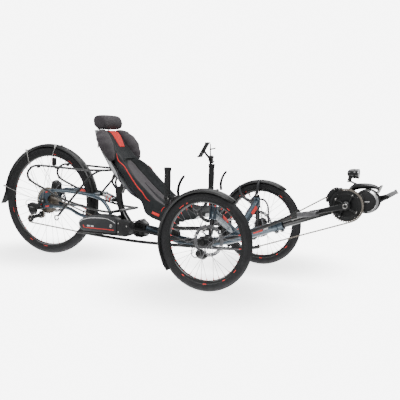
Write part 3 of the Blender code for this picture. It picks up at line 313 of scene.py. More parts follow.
# ------------------------------------------------------------------ finishes
class Nodes:
    """A small helper to wire up one material."""

    def __init__(self, name):
        self.material = bpy.data.materials.new(name)
        self.material.use_nodes = True
        self.tree = self.material.node_tree
        self.shader = self.tree.nodes["Principled BSDF"]
        self.place = self.add("ShaderNodeTexCoord").outputs["Object"]

    def add(self, kind, **settings):
        made = self.tree.nodes.new(kind)
        for key, value in settings.items():
            setattr(made, key, value)
        return made

    def link(self, source, target):
        self.tree.links.new(source, target)

    def noise(self, scale, detail=3.0, rough=0.55, stretch=None):
        made = self.add("ShaderNodeTexNoise")
        made.inputs["Scale"].default_value = scale
        made.inputs["Detail"].default_value = detail
        made.inputs["Roughness"].default_value = rough
        place = self.place
        if stretch:
            mapping = self.add("ShaderNodeMapping")
            mapping.inputs["Scale"].default_value = stretch
            self.link(place, mapping.inputs["Vector"])
            place = mapping.outputs["Vector"]
        self.link(place, made.inputs["Vector"])
        return made.outputs["Fac"]

    def wave(self, scale, direction):
        made = self.add("ShaderNodeTexWave", wave_type="BANDS", bands_direction=direction)
        made.inputs["Scale"].default_value = scale
        self.link(self.place, made.inputs["Vector"])
        return made.outputs["Fac"]

    def remap(self, source, low, high, from_low=0.3, from_high=0.7, kind="LINEAR"):
        made = self.add("ShaderNodeMapRange", interpolation_type=kind)
        made.inputs["From Min"].default_value = from_low
        made.inputs["From Max"].default_value = from_high
        made.inputs["To Min"].default_value = low
        made.inputs["To Max"].default_value = high
        self.link(source, made.inputs["Value"])
        return made.outputs["Result"]

    def math(self, operation, first, second=None):
        made = self.add("ShaderNodeMath", operation=operation)
        for socket, value in zip(made.inputs, (first, second)):
            if value is None:
                continue
            if isinstance(value, (int, float)):
                socket.default_value = value
            else:
                self.link(value, socket)
        return made.outputs["Value"]

    def blend(self, share, first, second):
        made = self.add("ShaderNodeMix", data_type="RGBA")
        self.link(share, made.inputs["Factor"])
        for socket, value in ((made.inputs[6], first), (made.inputs[7], second)):
            if isinstance(value, tuple):
                socket.default_value = (*value, 1)
            else:
                self.link(value, socket)
        return made.outputs[2]

    def bump(self, height, strength, distance, onto=None):
        made = self.add("ShaderNodeBump")
        made.inputs["Strength"].default_value = strength
        made.inputs["Distance"].default_value = distance
        self.link(height, made.inputs["Height"])
        if onto is not None:
            self.link(onto, made.inputs["Normal"])
        return made.outputs["Normal"]

    def colour(self, source):
        self.link(source, self.shader.inputs["Base Color"])

    def rough(self, source):
        self.link(source, self.shader.inputs["Roughness"])

    def normal(self, source):
        self.link(source, self.shader.inputs["Normal"])


GLOSS_SPREAD = 0.07


def tint(colour, share):
    return tuple(min(1.0, c * share) for c in colour)


def surface(name, colour, rough=0.5, metal=0.0, coat=0.0, vary=0.15, blotch=9.0, grain=600.0, relief=0.15,
            depth=0.0002, wear=None, brushed=None):
    """Paint, plastic, rubber or metal: blotches, grain, an uneven gloss, and wear along the edges."""
    n = Nodes(name)
    n.shader.inputs["Metallic"].default_value = metal
    n.shader.inputs["Coat Weight"].default_value = coat
    n.shader.inputs["Coat Roughness"].default_value = 0.08
    shade = n.remap(n.noise(blotch, 5.0), 0.0, 1.0)
    base = n.blend(shade, tint(colour, 1 - vary), tint(colour, 1 + vary))
    if wear:
        edge = n.remap(n.add("ShaderNodeNewGeometry").outputs["Pointiness"], 0.0, 0.55, 0.53, 0.62)
        rubbed = n.math("MULTIPLY", edge, n.remap(n.noise(60.0, 4.0), 0.2, 1.0))
        base = n.blend(rubbed, base, wear)
    n.colour(base)
    n.rough(n.remap(n.noise(blotch * 4, 4.0), rough - GLOSS_SPREAD, rough + GLOSS_SPREAD))
    height = n.noise(grain, 2.0, stretch=brushed)
    n.normal(n.bump(height, relief, depth))
    return n.material


def cloth(name, colour, thread=0.0017, sheen=0.05, vary=0.16):
    """Woven fabric: crossed threads in relief, a heathered colour, painted shade in the hollows between the
    threads, and soft creases.
    """
    n = Nodes(name)
    n.shader.inputs["Sheen Weight"].default_value = sheen
    n.shader.inputs["Sheen Roughness"].default_value = 0.45
    scale = 2 * math.pi / (20 * thread)
    over, under = n.wave(scale, "Y"), n.wave(scale, "Z")
    weave = n.math("MULTIPLY", n.math("ADD", over, 0.25), n.math("ADD", under, 0.25))
    shade = n.remap(n.noise(7.0, 5.0), 0.0, 1.0)
    base = n.blend(shade, tint(colour, 1 - vary), tint(colour, 1 + vary))
    flecks = n.remap(n.noise(900.0, 1.0), 0.0, 0.35, 0.45, 0.75)
    base = n.blend(flecks, base, tint(colour, 1.9))
    # Where the threads dip, the colour is drawn darker: painted shade between the threads.
    base = n.blend(n.remap(weave, 0.25, 0.0, 0.0, 1.2), base, tint(colour, 0.45))
    n.colour(base)
    n.rough(n.remap(n.noise(40.0), 0.82, 0.96))
    soft = n.bump(n.noise(26.0, 3.0), 0.16, 0.004)
    n.normal(n.bump(weave, 0.5, 0.0005, soft))
    return n.material


def tyre_finish(name, radius):
    """Black rubber: a matt slick tread with fine sipes painted darker as shade in their grooves, and faint moulded
    rings on the walls.
    """
    n = Nodes(name)
    split = n.add("ShaderNodeSeparateXYZ")
    n.link(n.place, split.inputs["Vector"])
    x, y, z = split.outputs
    out = n.math("SQRT", n.math("ADD", n.math("MULTIPLY", x, x), n.math("MULTIPLY", z, z)))
    angle = n.math("ARCTAN2", z, x)
    tread = n.remap(out, 0.0, 1.0, radius - 0.012, radius - 0.009)
    wall = n.math("SUBTRACT", 1.0, tread)
    slant = n.math("ADD", n.math("MULTIPLY", angle, 84.0), n.math("MULTIPLY", n.math("ABSOLUTE", y), 260.0))
    sipe = n.math("MULTIPLY", n.remap(n.math("SINE", slant), 0.0, 1.0, 0.86, 1.0), tread)
    rings = n.math("MULTIPLY", n.math("SINE", n.math("MULTIPLY", out, 1900.0)), wall)
    dusty = n.remap(n.noise(16.0, 6.0), 0.0, 1.0, 0.35, 0.75)
    base = n.blend(dusty, (0.008, 0.008, 0.009), (0.016, 0.016, 0.0175))
    base = n.blend(tread, base, n.blend(dusty, (0.013, 0.013, 0.0145), (0.024, 0.024, 0.026)))
    # The sipes are drawn darker than the tread: painted shade in the grooves.
    base = n.blend(sipe, base, (0.012, 0.012, 0.013))
    n.colour(base)
    n.shader.inputs["Specular IOR Level"].default_value = 0.35
    n.rough(n.remap(n.noise(70.0), 0.62, 0.82))
    fine = n.bump(n.noise(900.0, 2.0), 0.2, 0.0003)
    ribbed = n.bump(rings, 0.25, 0.0002, fine)
    n.normal(n.bump(sipe, -0.8, 0.0006, ribbed))
    return n.material


def glow(name, colour, strength):
    """A lens or a reflector: a fine prismatic relief, and a little light of its own."""
    n = Nodes(name)
    n.shader.inputs["Emission Strength"].default_value = strength
    n.shader.inputs["Emission Color"].default_value = (*colour, 1)
    prism = n.math("MULTIPLY", n.wave(60.0, "Y"), n.wave(60.0, "Z"))
    n.colour(n.blend(n.remap(prism, 0.0, 1.0, 0.1, 0.9), tint(colour, 0.75), colour))
    n.rough(n.remap(n.noise(50.0), 0.1, 0.22))
    n.normal(n.bump(prism, 0.6, 0.0008))
    return n.material


GLOSS_BLACK = surface("gloss_black", (0.005, 0.0055, 0.006), 0.22, coat=0.6, vary=0.2, relief=0.05,
                      wear=(0.035, 0.035, 0.035))
GUARD = surface("mudguard_black", (0.004, 0.0045, 0.005), 0.42, vary=0.2, grain=900, relief=0.05,
                wear=(0.02, 0.02, 0.02))
SATIN_BLACK = surface("satin_black", (0.007, 0.0075, 0.008), 0.38, vary=0.25, grain=900, relief=0.12,
                      wear=(0.035, 0.035, 0.035))
ANODISED = surface("black_anodised", (0.008, 0.008, 0.009), 0.26, metal=0.35, vary=0.2, relief=0.06,
                   wear=(0.06, 0.06, 0.058))
PLASTIC = surface("black_plastic", (0.009, 0.009, 0.01), 0.48, vary=0.18, grain=1400, relief=0.3, depth=0.0003)
GREY_PLASTIC = surface("grey_plastic", (0.03, 0.031, 0.034), 0.42, vary=0.12, grain=1500, relief=0.25, depth=0.0003)
PAINT = surface("blue_grey_metallic", (0.05, 0.078, 0.105), 0.27, metal=0.55, coat=0.8, vary=0.16, blotch=14,
                grain=2600, relief=0.06, wear=(0.2, 0.24, 0.28))
SILVER = surface("polished_alloy", (0.72, 0.72, 0.73), 0.22, metal=1.0, vary=0.08, grain=300, relief=0.08,
                 brushed=(1, 12, 1))
DARK_ALLOY = surface("dark_alloy", (0.26, 0.26, 0.27), 0.34, metal=0.9, vary=0.15, grain=500, relief=0.12,
                     brushed=(1, 12, 1))
STEEL = surface("brushed_steel", (0.56, 0.55, 0.53), 0.3, metal=1.0, vary=0.12, grain=500, relief=0.15,
                brushed=(1, 14, 1))
SPOKE = surface("spoke_steel", (0.2, 0.2, 0.21), 0.3, metal=0.9, vary=0.1, grain=400, relief=0.05)
CHAIN = surface("oiled_chain", (0.3, 0.26, 0.22), 0.36, metal=0.9, vary=0.3, blotch=60, grain=900, relief=0.1,
                wear=(0.6, 0.56, 0.5))
SHELL = surface("silver_lacquer", (0.62, 0.63, 0.65), 0.3, metal=0.15, coat=0.5, vary=0.07, grain=900, relief=0.05)
RUBBER = surface("grip_rubber", (0.009, 0.01, 0.011), 0.72, vary=0.2, grain=1100, relief=0.4, depth=0.0004)
RED = surface("red_decal", (0.8, 0.045, 0.035), 0.4, vary=0.08, grain=900, relief=0.05)
WHITE = surface("white_decal", (0.78, 0.78, 0.78), 0.4, vary=0.06, grain=900, relief=0.05)
PALE = surface("pale_plastic", (0.6, 0.6, 0.58), 0.45, vary=0.1, grain=900, relief=0.1)
FABRIC = cloth("slate_fabric", (0.0065, 0.0085, 0.01))
GREY_FABRIC = cloth("grey_fabric", (0.046, 0.04, 0.045), vary=0.1, sheen=0.08)
MESH_FABRIC = cloth("light_grey_fabric", (0.066, 0.06, 0.065), thread=0.0024, vary=0.08, sheen=0.08)
RED_FABRIC = cloth("red_fabric", (0.9, 0.035, 0.03), vary=0.05)
LENS = glow("clear_lens", (0.9, 0.9, 0.88), 0.12)
RED_LENS = glow("red_lens", (0.35, 0.012, 0.012), 0.02)


# ------------------------------------------------------------------ wheels
def tyre(tag, body):
    low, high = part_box("tyre_" + tag)
    centre, radius, half = (low + high) / 2, (high.z - low.z) / 2, (high.y - low.y) / 2
    bead = radius - (0.0385 if radius < 0.3 else 0.0425)
    side = [(bead, 0.5), (bead + 0.003, 0.66), (bead + 0.006, 0.7), (bead + 0.009, 0.86),
            ((bead + radius) / 2 - 0.004, 0.99), ((bead + radius) / 2 + 0.004, 1.0), (radius - 0.012, 0.9),
            (radius - 0.0085, 0.8), (radius - 0.0045, 0.6), (radius - 0.0012, 0.32), (radius, 0.1)]
    profile = [(r, -half * share) for r, share in side] + [(r, half * share) for r, share in reversed(side)]
    make("tyre_casing_" + tag, [lathe(profile, centre, steps=112, ring=True)],
         tyre_finish("tyre_rubber_" + tag, radius), body, "tyre", ["tyre_" + tag], origin=centre, angle=60)
    return centre, bead


def wheel(tag, body, hub, flanges, marks, bands):
    """Tyre, box-section rim, laced spokes with their nipples, hub and stickers."""
    centre, bead = tyre(tag, body)
    inner = bead - 0.0155
    side = [(inner - 0.0005, 0.0), (inner, 0.006), (inner + 0.003, 0.01), (inner + 0.008, 0.012),
            (bead + 0.002, 0.0125), (bead + 0.003, 0.0112), (bead + 0.001, 0.0098), (bead - 0.002, 0.006),
            (bead - 0.0035, 0.0)]
    profile = side + [(r, -y) for r, y in reversed(side[1:-1])]
    make("rim_" + tag, [lathe(profile, centre, steps=112, ring=True)], GLOSS_BLACK, body, "rim_black",
         ["wheel_" + tag], origin=centre)
    wires, nipples, heads = [], [], []
    for i in range(SPOKES):
        flange_radius, flange_y = flanges[i % 2]
        lean = 62 if i % 4 < 2 else -62
        angle = 360 * (i + 0.5) / SPOKES
        shift = 0.0014 if (i // 2) % 2 else -0.0014
        root = polar(centre, flange_radius, angle + lean, flange_y + shift)
        seat = polar(centre, inner + 0.002, angle, math.copysign(0.0025, flange_y))
        along = (seat - root).normalized()
        wires.append(rod(root, seat - along * 0.008, 0.00105, 6))
        nipples.append(rod(seat - along * 0.0125, seat, 0.0019, 8, 0.0026))
        heads.append(rod(root + Vector((0, -0.0012, 0)), root + Vector((0, 0.0012, 0)), 0.0021, 8))
    make("spokes_" + tag, wires + heads, SPOKE, body, "rim_black", origin=centre)
    make("nipples_" + tag, nipples, RED, body, origin=centre)
    make("hub_" + tag, [lathe(hub, centre, steps=48, ring=True)], ANODISED, body, "rim_black", origin=centre)
    red, white = [], []
    for face in (1, -1):
        def sticker(first, sweep, low, high):
            rows = []
            for i in range(13):
                angle = first + sweep * i / 12
                rows.append([polar(centre, inner + share * 0.0175, angle, face * (0.0064 + 0.0068 * share ** 0.6))
                             for share in (low, (low + high) / 2, high)])
            return sheet_of(rows)
        for turn, width in marks:
            red.append(sticker(turn, width, 0.06, 1.0))
        for turn, width in bands:
            white.append(sticker(turn, width, 0.48, 0.66))
    make("rim_stickers_red_" + tag, red, RED, body, origin=centre)
    make("rim_stickers_white_" + tag, white, WHITE, body, origin=centre)
    return centre


def brake_disc(tag, body):
    """A slotted friction ring on curved arms."""
    low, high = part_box("rotor_" + tag)
    centre = (low + high) / 2
    radii = [0.0615, 0.064, 0.0672, 0.069, 0.0722, 0.074, 0.0772, 0.08]
    verts, faces, sectors = [], [], 150
    for i in range(sectors):
        for radius in radii:
            ripple = 0.0012 * math.sin(math.radians(360 * i / sectors * 12)) if radius > 0.079 else 0
            verts.append(polar(centre, radius - abs(ripple), 360 * i / sectors + (radius - 0.07) * 160))
    n = len(radii)
    for i in range(sectors):
        after = (i + 1) % sectors
        for j in range(n - 1):
            if j in (1, 3, 5) and (i + j) % 5 == 0 and (i // 5 + j) % 3:
                continue
            faces.append((i * n + j, i * n + j + 1, after * n + j + 1, after * n + j))
    make("disc_ring_" + tag, [(verts, faces)], DARK_ALLOY, body, "disc_steel", ["rotor_" + tag], thicken=0.0019)
    arms = [ring(centre, Y, 0.03, 0.0212, -0.0012, 0.0012, 40)]
    for i in range(6):
        bend = [polar(centre, r, 60 * i + turn) for r, turn in ((0.025, 0), (0.038, 3), (0.052, 12), (0.06, 21))]
        arms.append(sweep(smooth_path(bend, 5), bar_section(0.0011, 0.0066, 0.0018)))
    arms += [bolt(polar(centre, 0.0222, 60 * i + 30, 0.0012 * s), Y * s, 0.0028, 0.0016) for i in range(6)
             for s in (1, -1)]
    make("disc_spider_" + tag, arms, DARK_ALLOY, body, "disc_steel")


def all_wheels():
    for tag, side in SIDES:
        inner, outer = -side * 0.0405, side * 0.033
        hub = [(0.0087, inner), (0.0195, inner), (0.0205, -side * 0.0385), (0.02, -side * 0.0315),
               (0.0225, -side * 0.029), (0.03, -side * 0.0275), (0.03, -side * 0.0245), (0.0215, -side * 0.0225),
               (0.017, -side * 0.017), (0.016, 0.0), (0.017, side * 0.017), (0.0215, side * 0.0225),
               (0.03, side * 0.0245), (0.03, side * 0.0275), (0.023, side * 0.029), (0.0195, side * 0.032),
               (0.015, outer), (0.0087, outer)]
        body = tag + "_wheel"
        centre = wheel(tag, body, hub, [(0.0272, 0.026), (0.0272, -0.026)],
                       ((124, 8), (117, 3), (-40, 5), (-60, 4), (-90, 5), (52, 5), (236, 4)),
                       ((133, 12), (-55, 14), (-84, 22), (58, 14)))
        brake_disc(tag, body)
        stem = [polar(centre, inner_r, 118, 0.012) for inner_r in (0.1905, 0.168)]
        make("valve_" + tag, [rod(stem[0], stem[1], 0.003, 10, 0.0022),
                              rod(polar(centre, 0.175, 118, 0.012), stem[1], 0.0038, 10)], PLASTIC, body)
    hub = [(0.007, -0.0225), (0.029, -0.0225), (0.0305, -0.0215), (0.0305, -0.019), (0.021, -0.017), (0.018, -0.01),
           (0.017, 0.01), (0.018, 0.028), (0.021, 0.031), (0.0305, 0.0325), (0.0305, 0.0355), (0.022, 0.037),
           (0.0205, 0.042), (0.0205, 0.057), (0.0195, 0.0585), (0.007, 0.0585)]
    wheel("rear", "rear_wheel", hub, [(0.0285, -0.0205), (0.0285, 0.034)],
          ((193, 6), (240, 5), (262, 6), (54, 7), (80, 4), (-20, 6)), ((202, 14), (222, 15), (247, 13), (62, 14)))
    brake_disc("rear", "rear_wheel")


# ------------------------------------------------------------------ mudguards
def guard(centre, radius, half, first, last, stations, tips):
    """A curved blade over a tyre, rounded at its tips."""
    sections = []
    for i in range(stations):
        share = i / (stations - 1)
        angle = first + (last - first) * share
        edge = min(1.0, 0.55 + share / tips * 0.45, 0.8 + (1 - share) / tips * 0.2)
        outside, inside = [], []
        for j in range(11):
            u = math.radians(-78 + 15.6 * j)
            y, drop = half * edge * math.sin(u) / math.sin(math.radians(78)), 0.019 * (1 - math.cos(u))
            outside.append(polar(centre, radius - 0.0022 - drop, angle, y))
            inside.append(polar(centre, radius - 0.004 - drop, angle, y * 0.955))
        sections.append(outside + inside[::-1])
    return loft(sections)


def flap(centre, radius, half, first, last, flare):
    """The soft tongue at a guard's lower end."""
    sections = []
    for i in range(9):
        t = i / 8
        wide = half * (0.9 + 0.12 * math.sin(math.pi * min(1, t * 0.8)) - (0.22 * max(0, t - 0.7) / 0.3))
        rise = flare * t * t
        angle = first + (last - first) * t
        row = []
        for layer in (0.0, -0.0026):
            line = [polar(centre, radius - 0.001 + rise + layer - 0.008 * (u / 4) ** 2, angle, wide * u / 4)
                    for u in range(-4, 5)]
            row += line if layer == 0.0 else line[::-1]
        sections.append(row)
    return loft(sections)


def mudguards():
    for tag, side in SIDES:
        body = tag + "_knuckle"
        centre = middle("tyre_" + tag)
        make("guard_" + tag, [guard(centre, 0.2605, 0.0285, 55, 208, 64, 0.05)], GUARD, body, "black_plastic",
             ["mudguard_" + tag], angle=60)
        make("guard_flap_" + tag, [flap(centre, 0.259, 0.027, 200, 219, 0.004)], RUBBER, body, angle=60)
        y = side * 0.36
        hub = at(-0.058, y, 0.372)
        stays, clips = [], []
        for angle in (93, 121):
            edge = polar(centre, 0.249, angle, -side * 0.03)
            near = Vector((edge.x, y, edge.z - 0.018))
            bend = hub.lerp(near, 0.5) + Vector((0.012 if angle < 100 else -0.012, 0, -0.01))
            stays.append(tube([hub, bend, near, edge], lambda t: 0.0105 - 0.0035 * t, 12, 6))
            clips.append(block(edge - Vector((0.009, 0.004, 0.01)), edge + Vector((0.009, 0.004, 0.006))))
        root = at(-0.016, side * (KING_Y - 0.333 * KING_LEAN), 0.333)
        stays.append(tube([root, at(-0.038, side * 0.343, 0.345), hub], lambda t: 0.0095 - 0.002 * t, 12, 6))
        clips.append(rod(hub - Y * 0.0072, hub + Y * 0.0072, 0.0125, 20, round_off=0.002))
        make("guard_stays_" + tag, stays, GREY_PLASTIC, body, "grey_plastic", angle=60)
        make("guard_clips_" + tag, clips, GREY_PLASTIC, body, bevel=0.0015)
        make("guard_bolts_" + tag, [bolt(hub + Y * 0.0072, Y), bolt(hub - Y * 0.0072, -Y)], STEEL, body)
    centre = middle("tyre_rear")
    make("guard_rear", [guard(centre, 0.346, 0.031, -27, 176.5, 92, 0.04)], GUARD, "rear_arm", "black_plastic",
         ["rear_mudguard"], angle=60)
    make("guard_flap_rear", [flap(centre, 0.344, 0.03, 174.5, 187.2, 0.036)], RUBBER, "rear_arm", angle=60)
    wires, clips, ends = [], [], []
    for side in (1, -1):
        ends.append(ring(centre, Y, 0.0185, 0.007, side * 0.0765 - 0.0018, side * 0.0765 + 0.0018, 24))
        for angle in (80, 118, 168):
            edge = polar(centre, 0.335, angle, side * 0.0325)
            foot, knee = polar(centre, 0.015, angle, side * 0.077), polar(centre, 0.14, angle, side * 0.079)
            wires.append(tube([foot, knee, edge], 0.0016, 8, 6))
            along = (edge - knee).normalized()
            clips.append(rod(edge - along * 0.012, edge + along * 0.006, 0.0042, 10, round_off=0.001))
            clips.append(rod(polar(centre, 0.338, angle, side * 0.027), polar(centre, 0.338, angle, side * 0.037),
                             0.006, 10))
    make("guard_wires_rear", wires, STEEL, "rear_arm")
    make("guard_wire_clips_rear", clips, PALE, "rear_arm")
    make("guard_wire_eyes_rear", ends, PLASTIC, "rear_arm", bevel=0.0006)


# ------------------------------------------------------------------ frame
BB = at(0.594, 0, 0.43)
BOOM = Vector((math.cos(math.radians(20.5)), 0, math.sin(math.radians(20.5))))
PIVOT = at(-0.735, 0, 0.25)
REAR = middle("tyre_rear")


def king(side, z):
    """A place on a kingpin's line at height z."""
    return at(0, side * (KING_Y - z * KING_LEAN), z)


def front_frame():
    mouth, foot = BB - BOOM * 0.355, BB - BOOM * 0.61
    spine = [(-0.541, 0.208), (-0.475, 0.199), (-0.39, 0.178), (-0.28, 0.16), (-0.17, 0.166), (-0.07, 0.188),
             (0.01, 0.212), (0.08, 0.238)]
    hollow = [(0.0213, 0), (0.025, 0), (0.025, 0.25), (0.0213, 0.25)]
    tubes = [tube([at(x, 0, z) for x, z in spine], 0.025, 32, 6), lathe(hollow, foot, BOOM, 40, ring=True)]
    clamp = [lathe([(0.024, -0.062), (0.0285, -0.06), (0.0285, -0.032), (0.0262, -0.03), (0.0262, -0.028),
                    (0.0285, -0.026), (0.0285, 0.0), (0.0275, 0.001), (0.0214, 0.001), (0.0214, -0.062)], mouth,
                   BOOM, 40, ring=True)]
    beads, heads = [], []
    for tag, side in SIDES:
        arm = [at(0, 0, 0.235), at(0.002, side * 0.07, 0.262), at(0.004, side * 0.15, 0.3),
               at(0.003, side * 0.235, 0.3415), king(side, 0.376)]
        tubes.append(tube(arm, 0.021, 32, 8))
        low, high = king(side, 0.3425), king(side, 0.407)
        along = (high - low).normalized()
        heads.append(lathe([(0.0101, 0), (0.0185, 0), (0.02, 0.0015), (0.02, 0.007), (0.019, 0.0085),
                            (0.019, 0.0575), (0.02, 0.059), (0.02, 0.0645), (0.0185, 0.066), (0.0101, 0.066)], low,
                           along, 32, ring=True))
        beads.append(lathe([(0.019, -0.0022), (0.0232, 0.0), (0.019, 0.0022)],
                           king(side, 0.376) + Vector((0, -side * 0.019, -0.0085)), arm[-2] - arm[-1], 32,
                           ring=True))
    make("frame_tubes", tubes, PAINT, "frame", "frame_paint", ["main_frame"], angle=60)
    make("head_tubes", heads, PAINT, "frame", "frame_paint")
    make("weld_beads", beads, PAINT, "frame", "frame_paint", angle=70)
    post = [(-0.4, 0.242), (-0.35, 0.242), (-0.335, 0.18), (-0.385, 0.185)]
    bracket = [plate(post, -0.018, 0.018), rod(at(-0.375, -0.06, 0.248), at(-0.375, 0.06, 0.248), 0.01, 20,
                                               round_off=0.002), rod(at(-0.072, 0, 0.195), at(-0.072, 0, 0.238),
                                                                     0.018, 32, round_off=0.0015),
               rod(at(-0.072, 0, 0.205), at(-0.072, 0, 0.2765), 0.008, 24, round_off=0.001)]
    make("seat_and_bar_bosses", bracket, SATIN_BLACK, "frame", "black_alloy", bevel=0.002)
    make("boom_clamp", clamp, PAINT, "frame", "frame_paint")
    lugs, screws = [], []
    down = turned(BOOM, -90)
    for shift in (-0.046, -0.014):
        place = mouth + BOOM * shift + down * 0.031
        lugs.append(rod(place - Y * 0.015, place + Y * 0.015, 0.0072, 18, round_off=0.001))
        screws += [bolt(place + Y * 0.015, Y, 0.0052, 0.0042), bolt(place - Y * 0.015, -Y, 0.0052, 0.0042)]
    make("clamp_lugs", lugs, PAINT, "frame", "frame_paint")
    make("clamp_screws", screws, STEEL, "frame")
    for tag, side in SIDES:
        cap = bolt(king(side, 0.415), king(side, 0.42) - king(side, 0.3), 0.0075, 0.004)
        make("kingpin_cap_" + tag, [cap], STEEL, tag + "_knuckle")
    red, white = [], []
    for side in (1, -1):
        a, b = at(0.003, side * 0.178, 0.3138), at(0.0035, side * 0.248, 0.3478)
        red.append(patch(a, b, 0.0218, -100, -45, 0.0012))
        red.append(patch(a, b, 0.0218, 45, 100, 0.0012))
    low, high = foot + BOOM * 0.09, foot + BOOM * 0.178
    for first, last in ((60, 102), (-102, -60)):
        red.append(patch(low, low.lerp(high, 0.62), 0.025, first, last))
        white.append(patch(low.lerp(high, 0.68), high, 0.025, first + 8, last - 8))
    make("frame_stickers_red", red, RED, "frame")
    make("frame_stickers_white", white, WHITE, "frame")
    for tag, side in SIDES:
        repaint("knuckle_" + tag, ANODISED)
        repaint("tie_rod_" + tag, STEEL)


def back_frame():
    spine = [(-0.6245, 0.208), (-0.645, 0.212), (-0.674, 0.246), (-0.705, 0.29), (-0.729, 0.348), (-0.741, 0.44)]
    tubes = [tube([at(x, 0, z) for x, z in spine], 0.02, 28, 7),
             rod(at(-0.7, -0.1355, 0.306), at(-0.7, 0.1355, 0.306), 0.0085, 20, round_off=0.001),
             lathe([(0.0092, -0.036), (0.0205, -0.036), (0.0212, -0.034), (0.0212, 0.034), (0.0205, 0.036),
                    (0.0092, 0.036)], PIVOT, steps=36, ring=True)]
    for side in (1, -1):
        tubes.append(tube([at(-0.742, 0, 0.415), at(-0.772, side * 0.018, 0.466), at(-0.745, side * 0.03, 0.5275)],
                          0.0065, 14, 6))
    for x, z in ((-0.655, 0.187), (-0.7, 0.185)):
        tubes.append(rod(at(x, -0.074, z), at(x, 0.01, z), 0.0065, 16, round_off=0.001))
    make("mono_tube", tubes, GLOSS_BLACK, "frame", "black_alloy", ["rear_frame"], angle=50)
    gusset = [(-0.756, 0.24), (-0.735, 0.274), (-0.7, 0.282), (-0.64, 0.22), (-0.64, 0.176), (-0.68, 0.172),
              (-0.745, 0.22)]
    plates = [plate(gusset, -0.012, 0.012), plate([(-0.735, 0.4), (-0.722, 0.452), (-0.694, 0.486), (-0.68, 0.474),
                                                   (-0.712, 0.4)], -0.016, 0.016),
              plate([(-0.771, 0.364), (-0.735, 0.386), (-0.725, 0.35), (-0.762, 0.347)], -0.005, 0.005)]
    make("frame_gussets", plates, GLOSS_BLACK, "frame", "black_alloy", bevel=0.0022)
    clips = []
    for x, z in ((-0.652, 0.216), (-0.69, 0.268), (-0.719, 0.318), (-0.736, 0.385)):
        clips.append(rod(at(x + 0.016, -0.006, z - 0.01), at(x + 0.016, 0.006, z - 0.01), 0.0068, 14,
                         round_off=0.001))
    clips += [bolt(at(-0.7, side * 0.1355, 0.306), Y * side, 0.007, 0.004) for side in (1, -1)]
    make("frame_clips", clips, SATIN_BLACK, "frame", bevel=0.0005)
    halves = [plate([(-0.6202, 0.172), (-0.6202, 0.24), (-0.596, 0.254), (-0.5838, 0.254), (-0.5838, 0.16),
                     (-0.6, 0.16)], -0.03, 0.03),
              plate([(-0.5822, 0.16), (-0.5822, 0.254), (-0.566, 0.254), (-0.5453, 0.238), (-0.5453, 0.172),
                     (-0.566, 0.16)], -0.03, 0.03)]
    make("fold_joint", halves, SATIN_BLACK, "frame", "black_alloy", ["fold_hinge"], bevel=0.003)
    barrel = [rod(at(-0.583, y0, 0.25), at(-0.583, y1, 0.25), 0.0122, 24, round_off=0.0015) for y0,
              y1 in ((-0.034, -0.012), (-0.011, 0.011), (0.012, 0.034))]
    barrel += [bolt(at(-0.583, s * 0.034, 0.25), Y * s, 0.007, 0.0035) for s in (1, -1)]
    barrel += [bolt(at(x, -0.03, z), -Y, 0.0042, 0.003) for x in (-0.61, -0.556) for z in (0.186, 0.228)]
    make("fold_barrel", barrel, ANODISED, "frame", "black_alloy")
    hinge = at(-0.6, -0.0335, 0.174)
    lever = [sweep(smooth_path([hinge, hinge + Vector((0.035, -0.001, -0.006)), hinge + Vector((0.078, 0, 0.002))],
                               8), lambda t: [(0.0026 * math.cos(a), (0.0062 - 0.002 * abs(t - 0.6)) * math.sin(a))
                                              for a in [math.pi * k / 8 for k in range(16)]]),
             rod(hinge - Y * 0.003, hinge + Y * 0.003, 0.0075, 24, round_off=0.0008)]
    make("fold_lever", lever, ANODISED, "latch", "black_alloy", ["fold_latch"])


def luggage_rack():
    bars, rings, fittings = [], [], []
    for side in (1, -1):
        y = side * 0.143
        loop = [(-0.737, 0.0, 0.538), (-0.74, 0.08, 0.538), (-0.748, 0.125, 0.5378), (-0.785, 0.143, 0.537),
                (-0.9, 0.143, 0.535), (-1.1, 0.143, 0.542), (-1.215, 0.143, 0.543), (-1.264, 0.143, 0.525),
                (-1.284, 0.143, 0.488), (-1.255, 0.143, 0.448), (-1.136, 0.143, 0.4), (-1.037, 0.143, 0.36),
                (-0.85, 0.143, 0.319), (-0.76, 0.143, 0.308), (-0.692, 0.143, 0.306)]
        bars.append(tube([at(x, side * across, z) for x, across, z in loop], 0.0068, 14, 6))
        bars.append(tube([at(-0.765, y, 0.5365), at(-0.8, y, 0.524), at(-0.86, y, 0.478), at(-1.062, y, 0.256)],
                         0.0068, 14, 6))
        hook = at(-1.071, y, 0.245)
        bend = [polar(hook, 0.0135, 40 + 30 * i) for i in range(12)]
        rings.append(tube(bend, 0.0038, 10, 4))
        for x, z in ((-1.205, 0.543), (-1.268, 0.462)):
            fittings.append(rod(at(x, y - 0.0068, z - 0.006), at(x, y + 0.0068, z - 0.006), 0.0085, 14,
                                round_off=0.0015))
        fittings.append(bolt(at(-0.7, side * 0.148, 0.306), Y * side, 0.006, 0.0038))
    make("rack_bars", bars, GLOSS_BLACK, "frame", "black_alloy", ["rack"], angle=60)
    make("rack_hooks", rings, SATIN_BLACK, "frame", "black_alloy", angle=60)
    make("rack_fittings", fittings, PLASTIC, "frame")
    low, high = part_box("tail_lamp")
    stem = [tube([at(-1.275, 0.143, 0.512), at(-1.3, 0.143, 0.512), at(-1.308, 0.143, 0.529)], 0.0038, 12, 6)]
    make("tail_lamp_stem", stem, SATIN_BLACK, "frame")
    make("tail_lamp_case", [block(low + Vector((0.006, 0, 0)), high)], PLASTIC, "frame", "lamp", ["tail_lamp"],
         bevel=0.004)
    make("tail_lamp_lens", [block(low + Vector((0, 0.0015, 0.002)),
                                  Vector((low.x + 0.0075, high.y - 0.0015, high.z - 0.002)))], RED_LENS, "frame",
         "lamp", bevel=0.003)


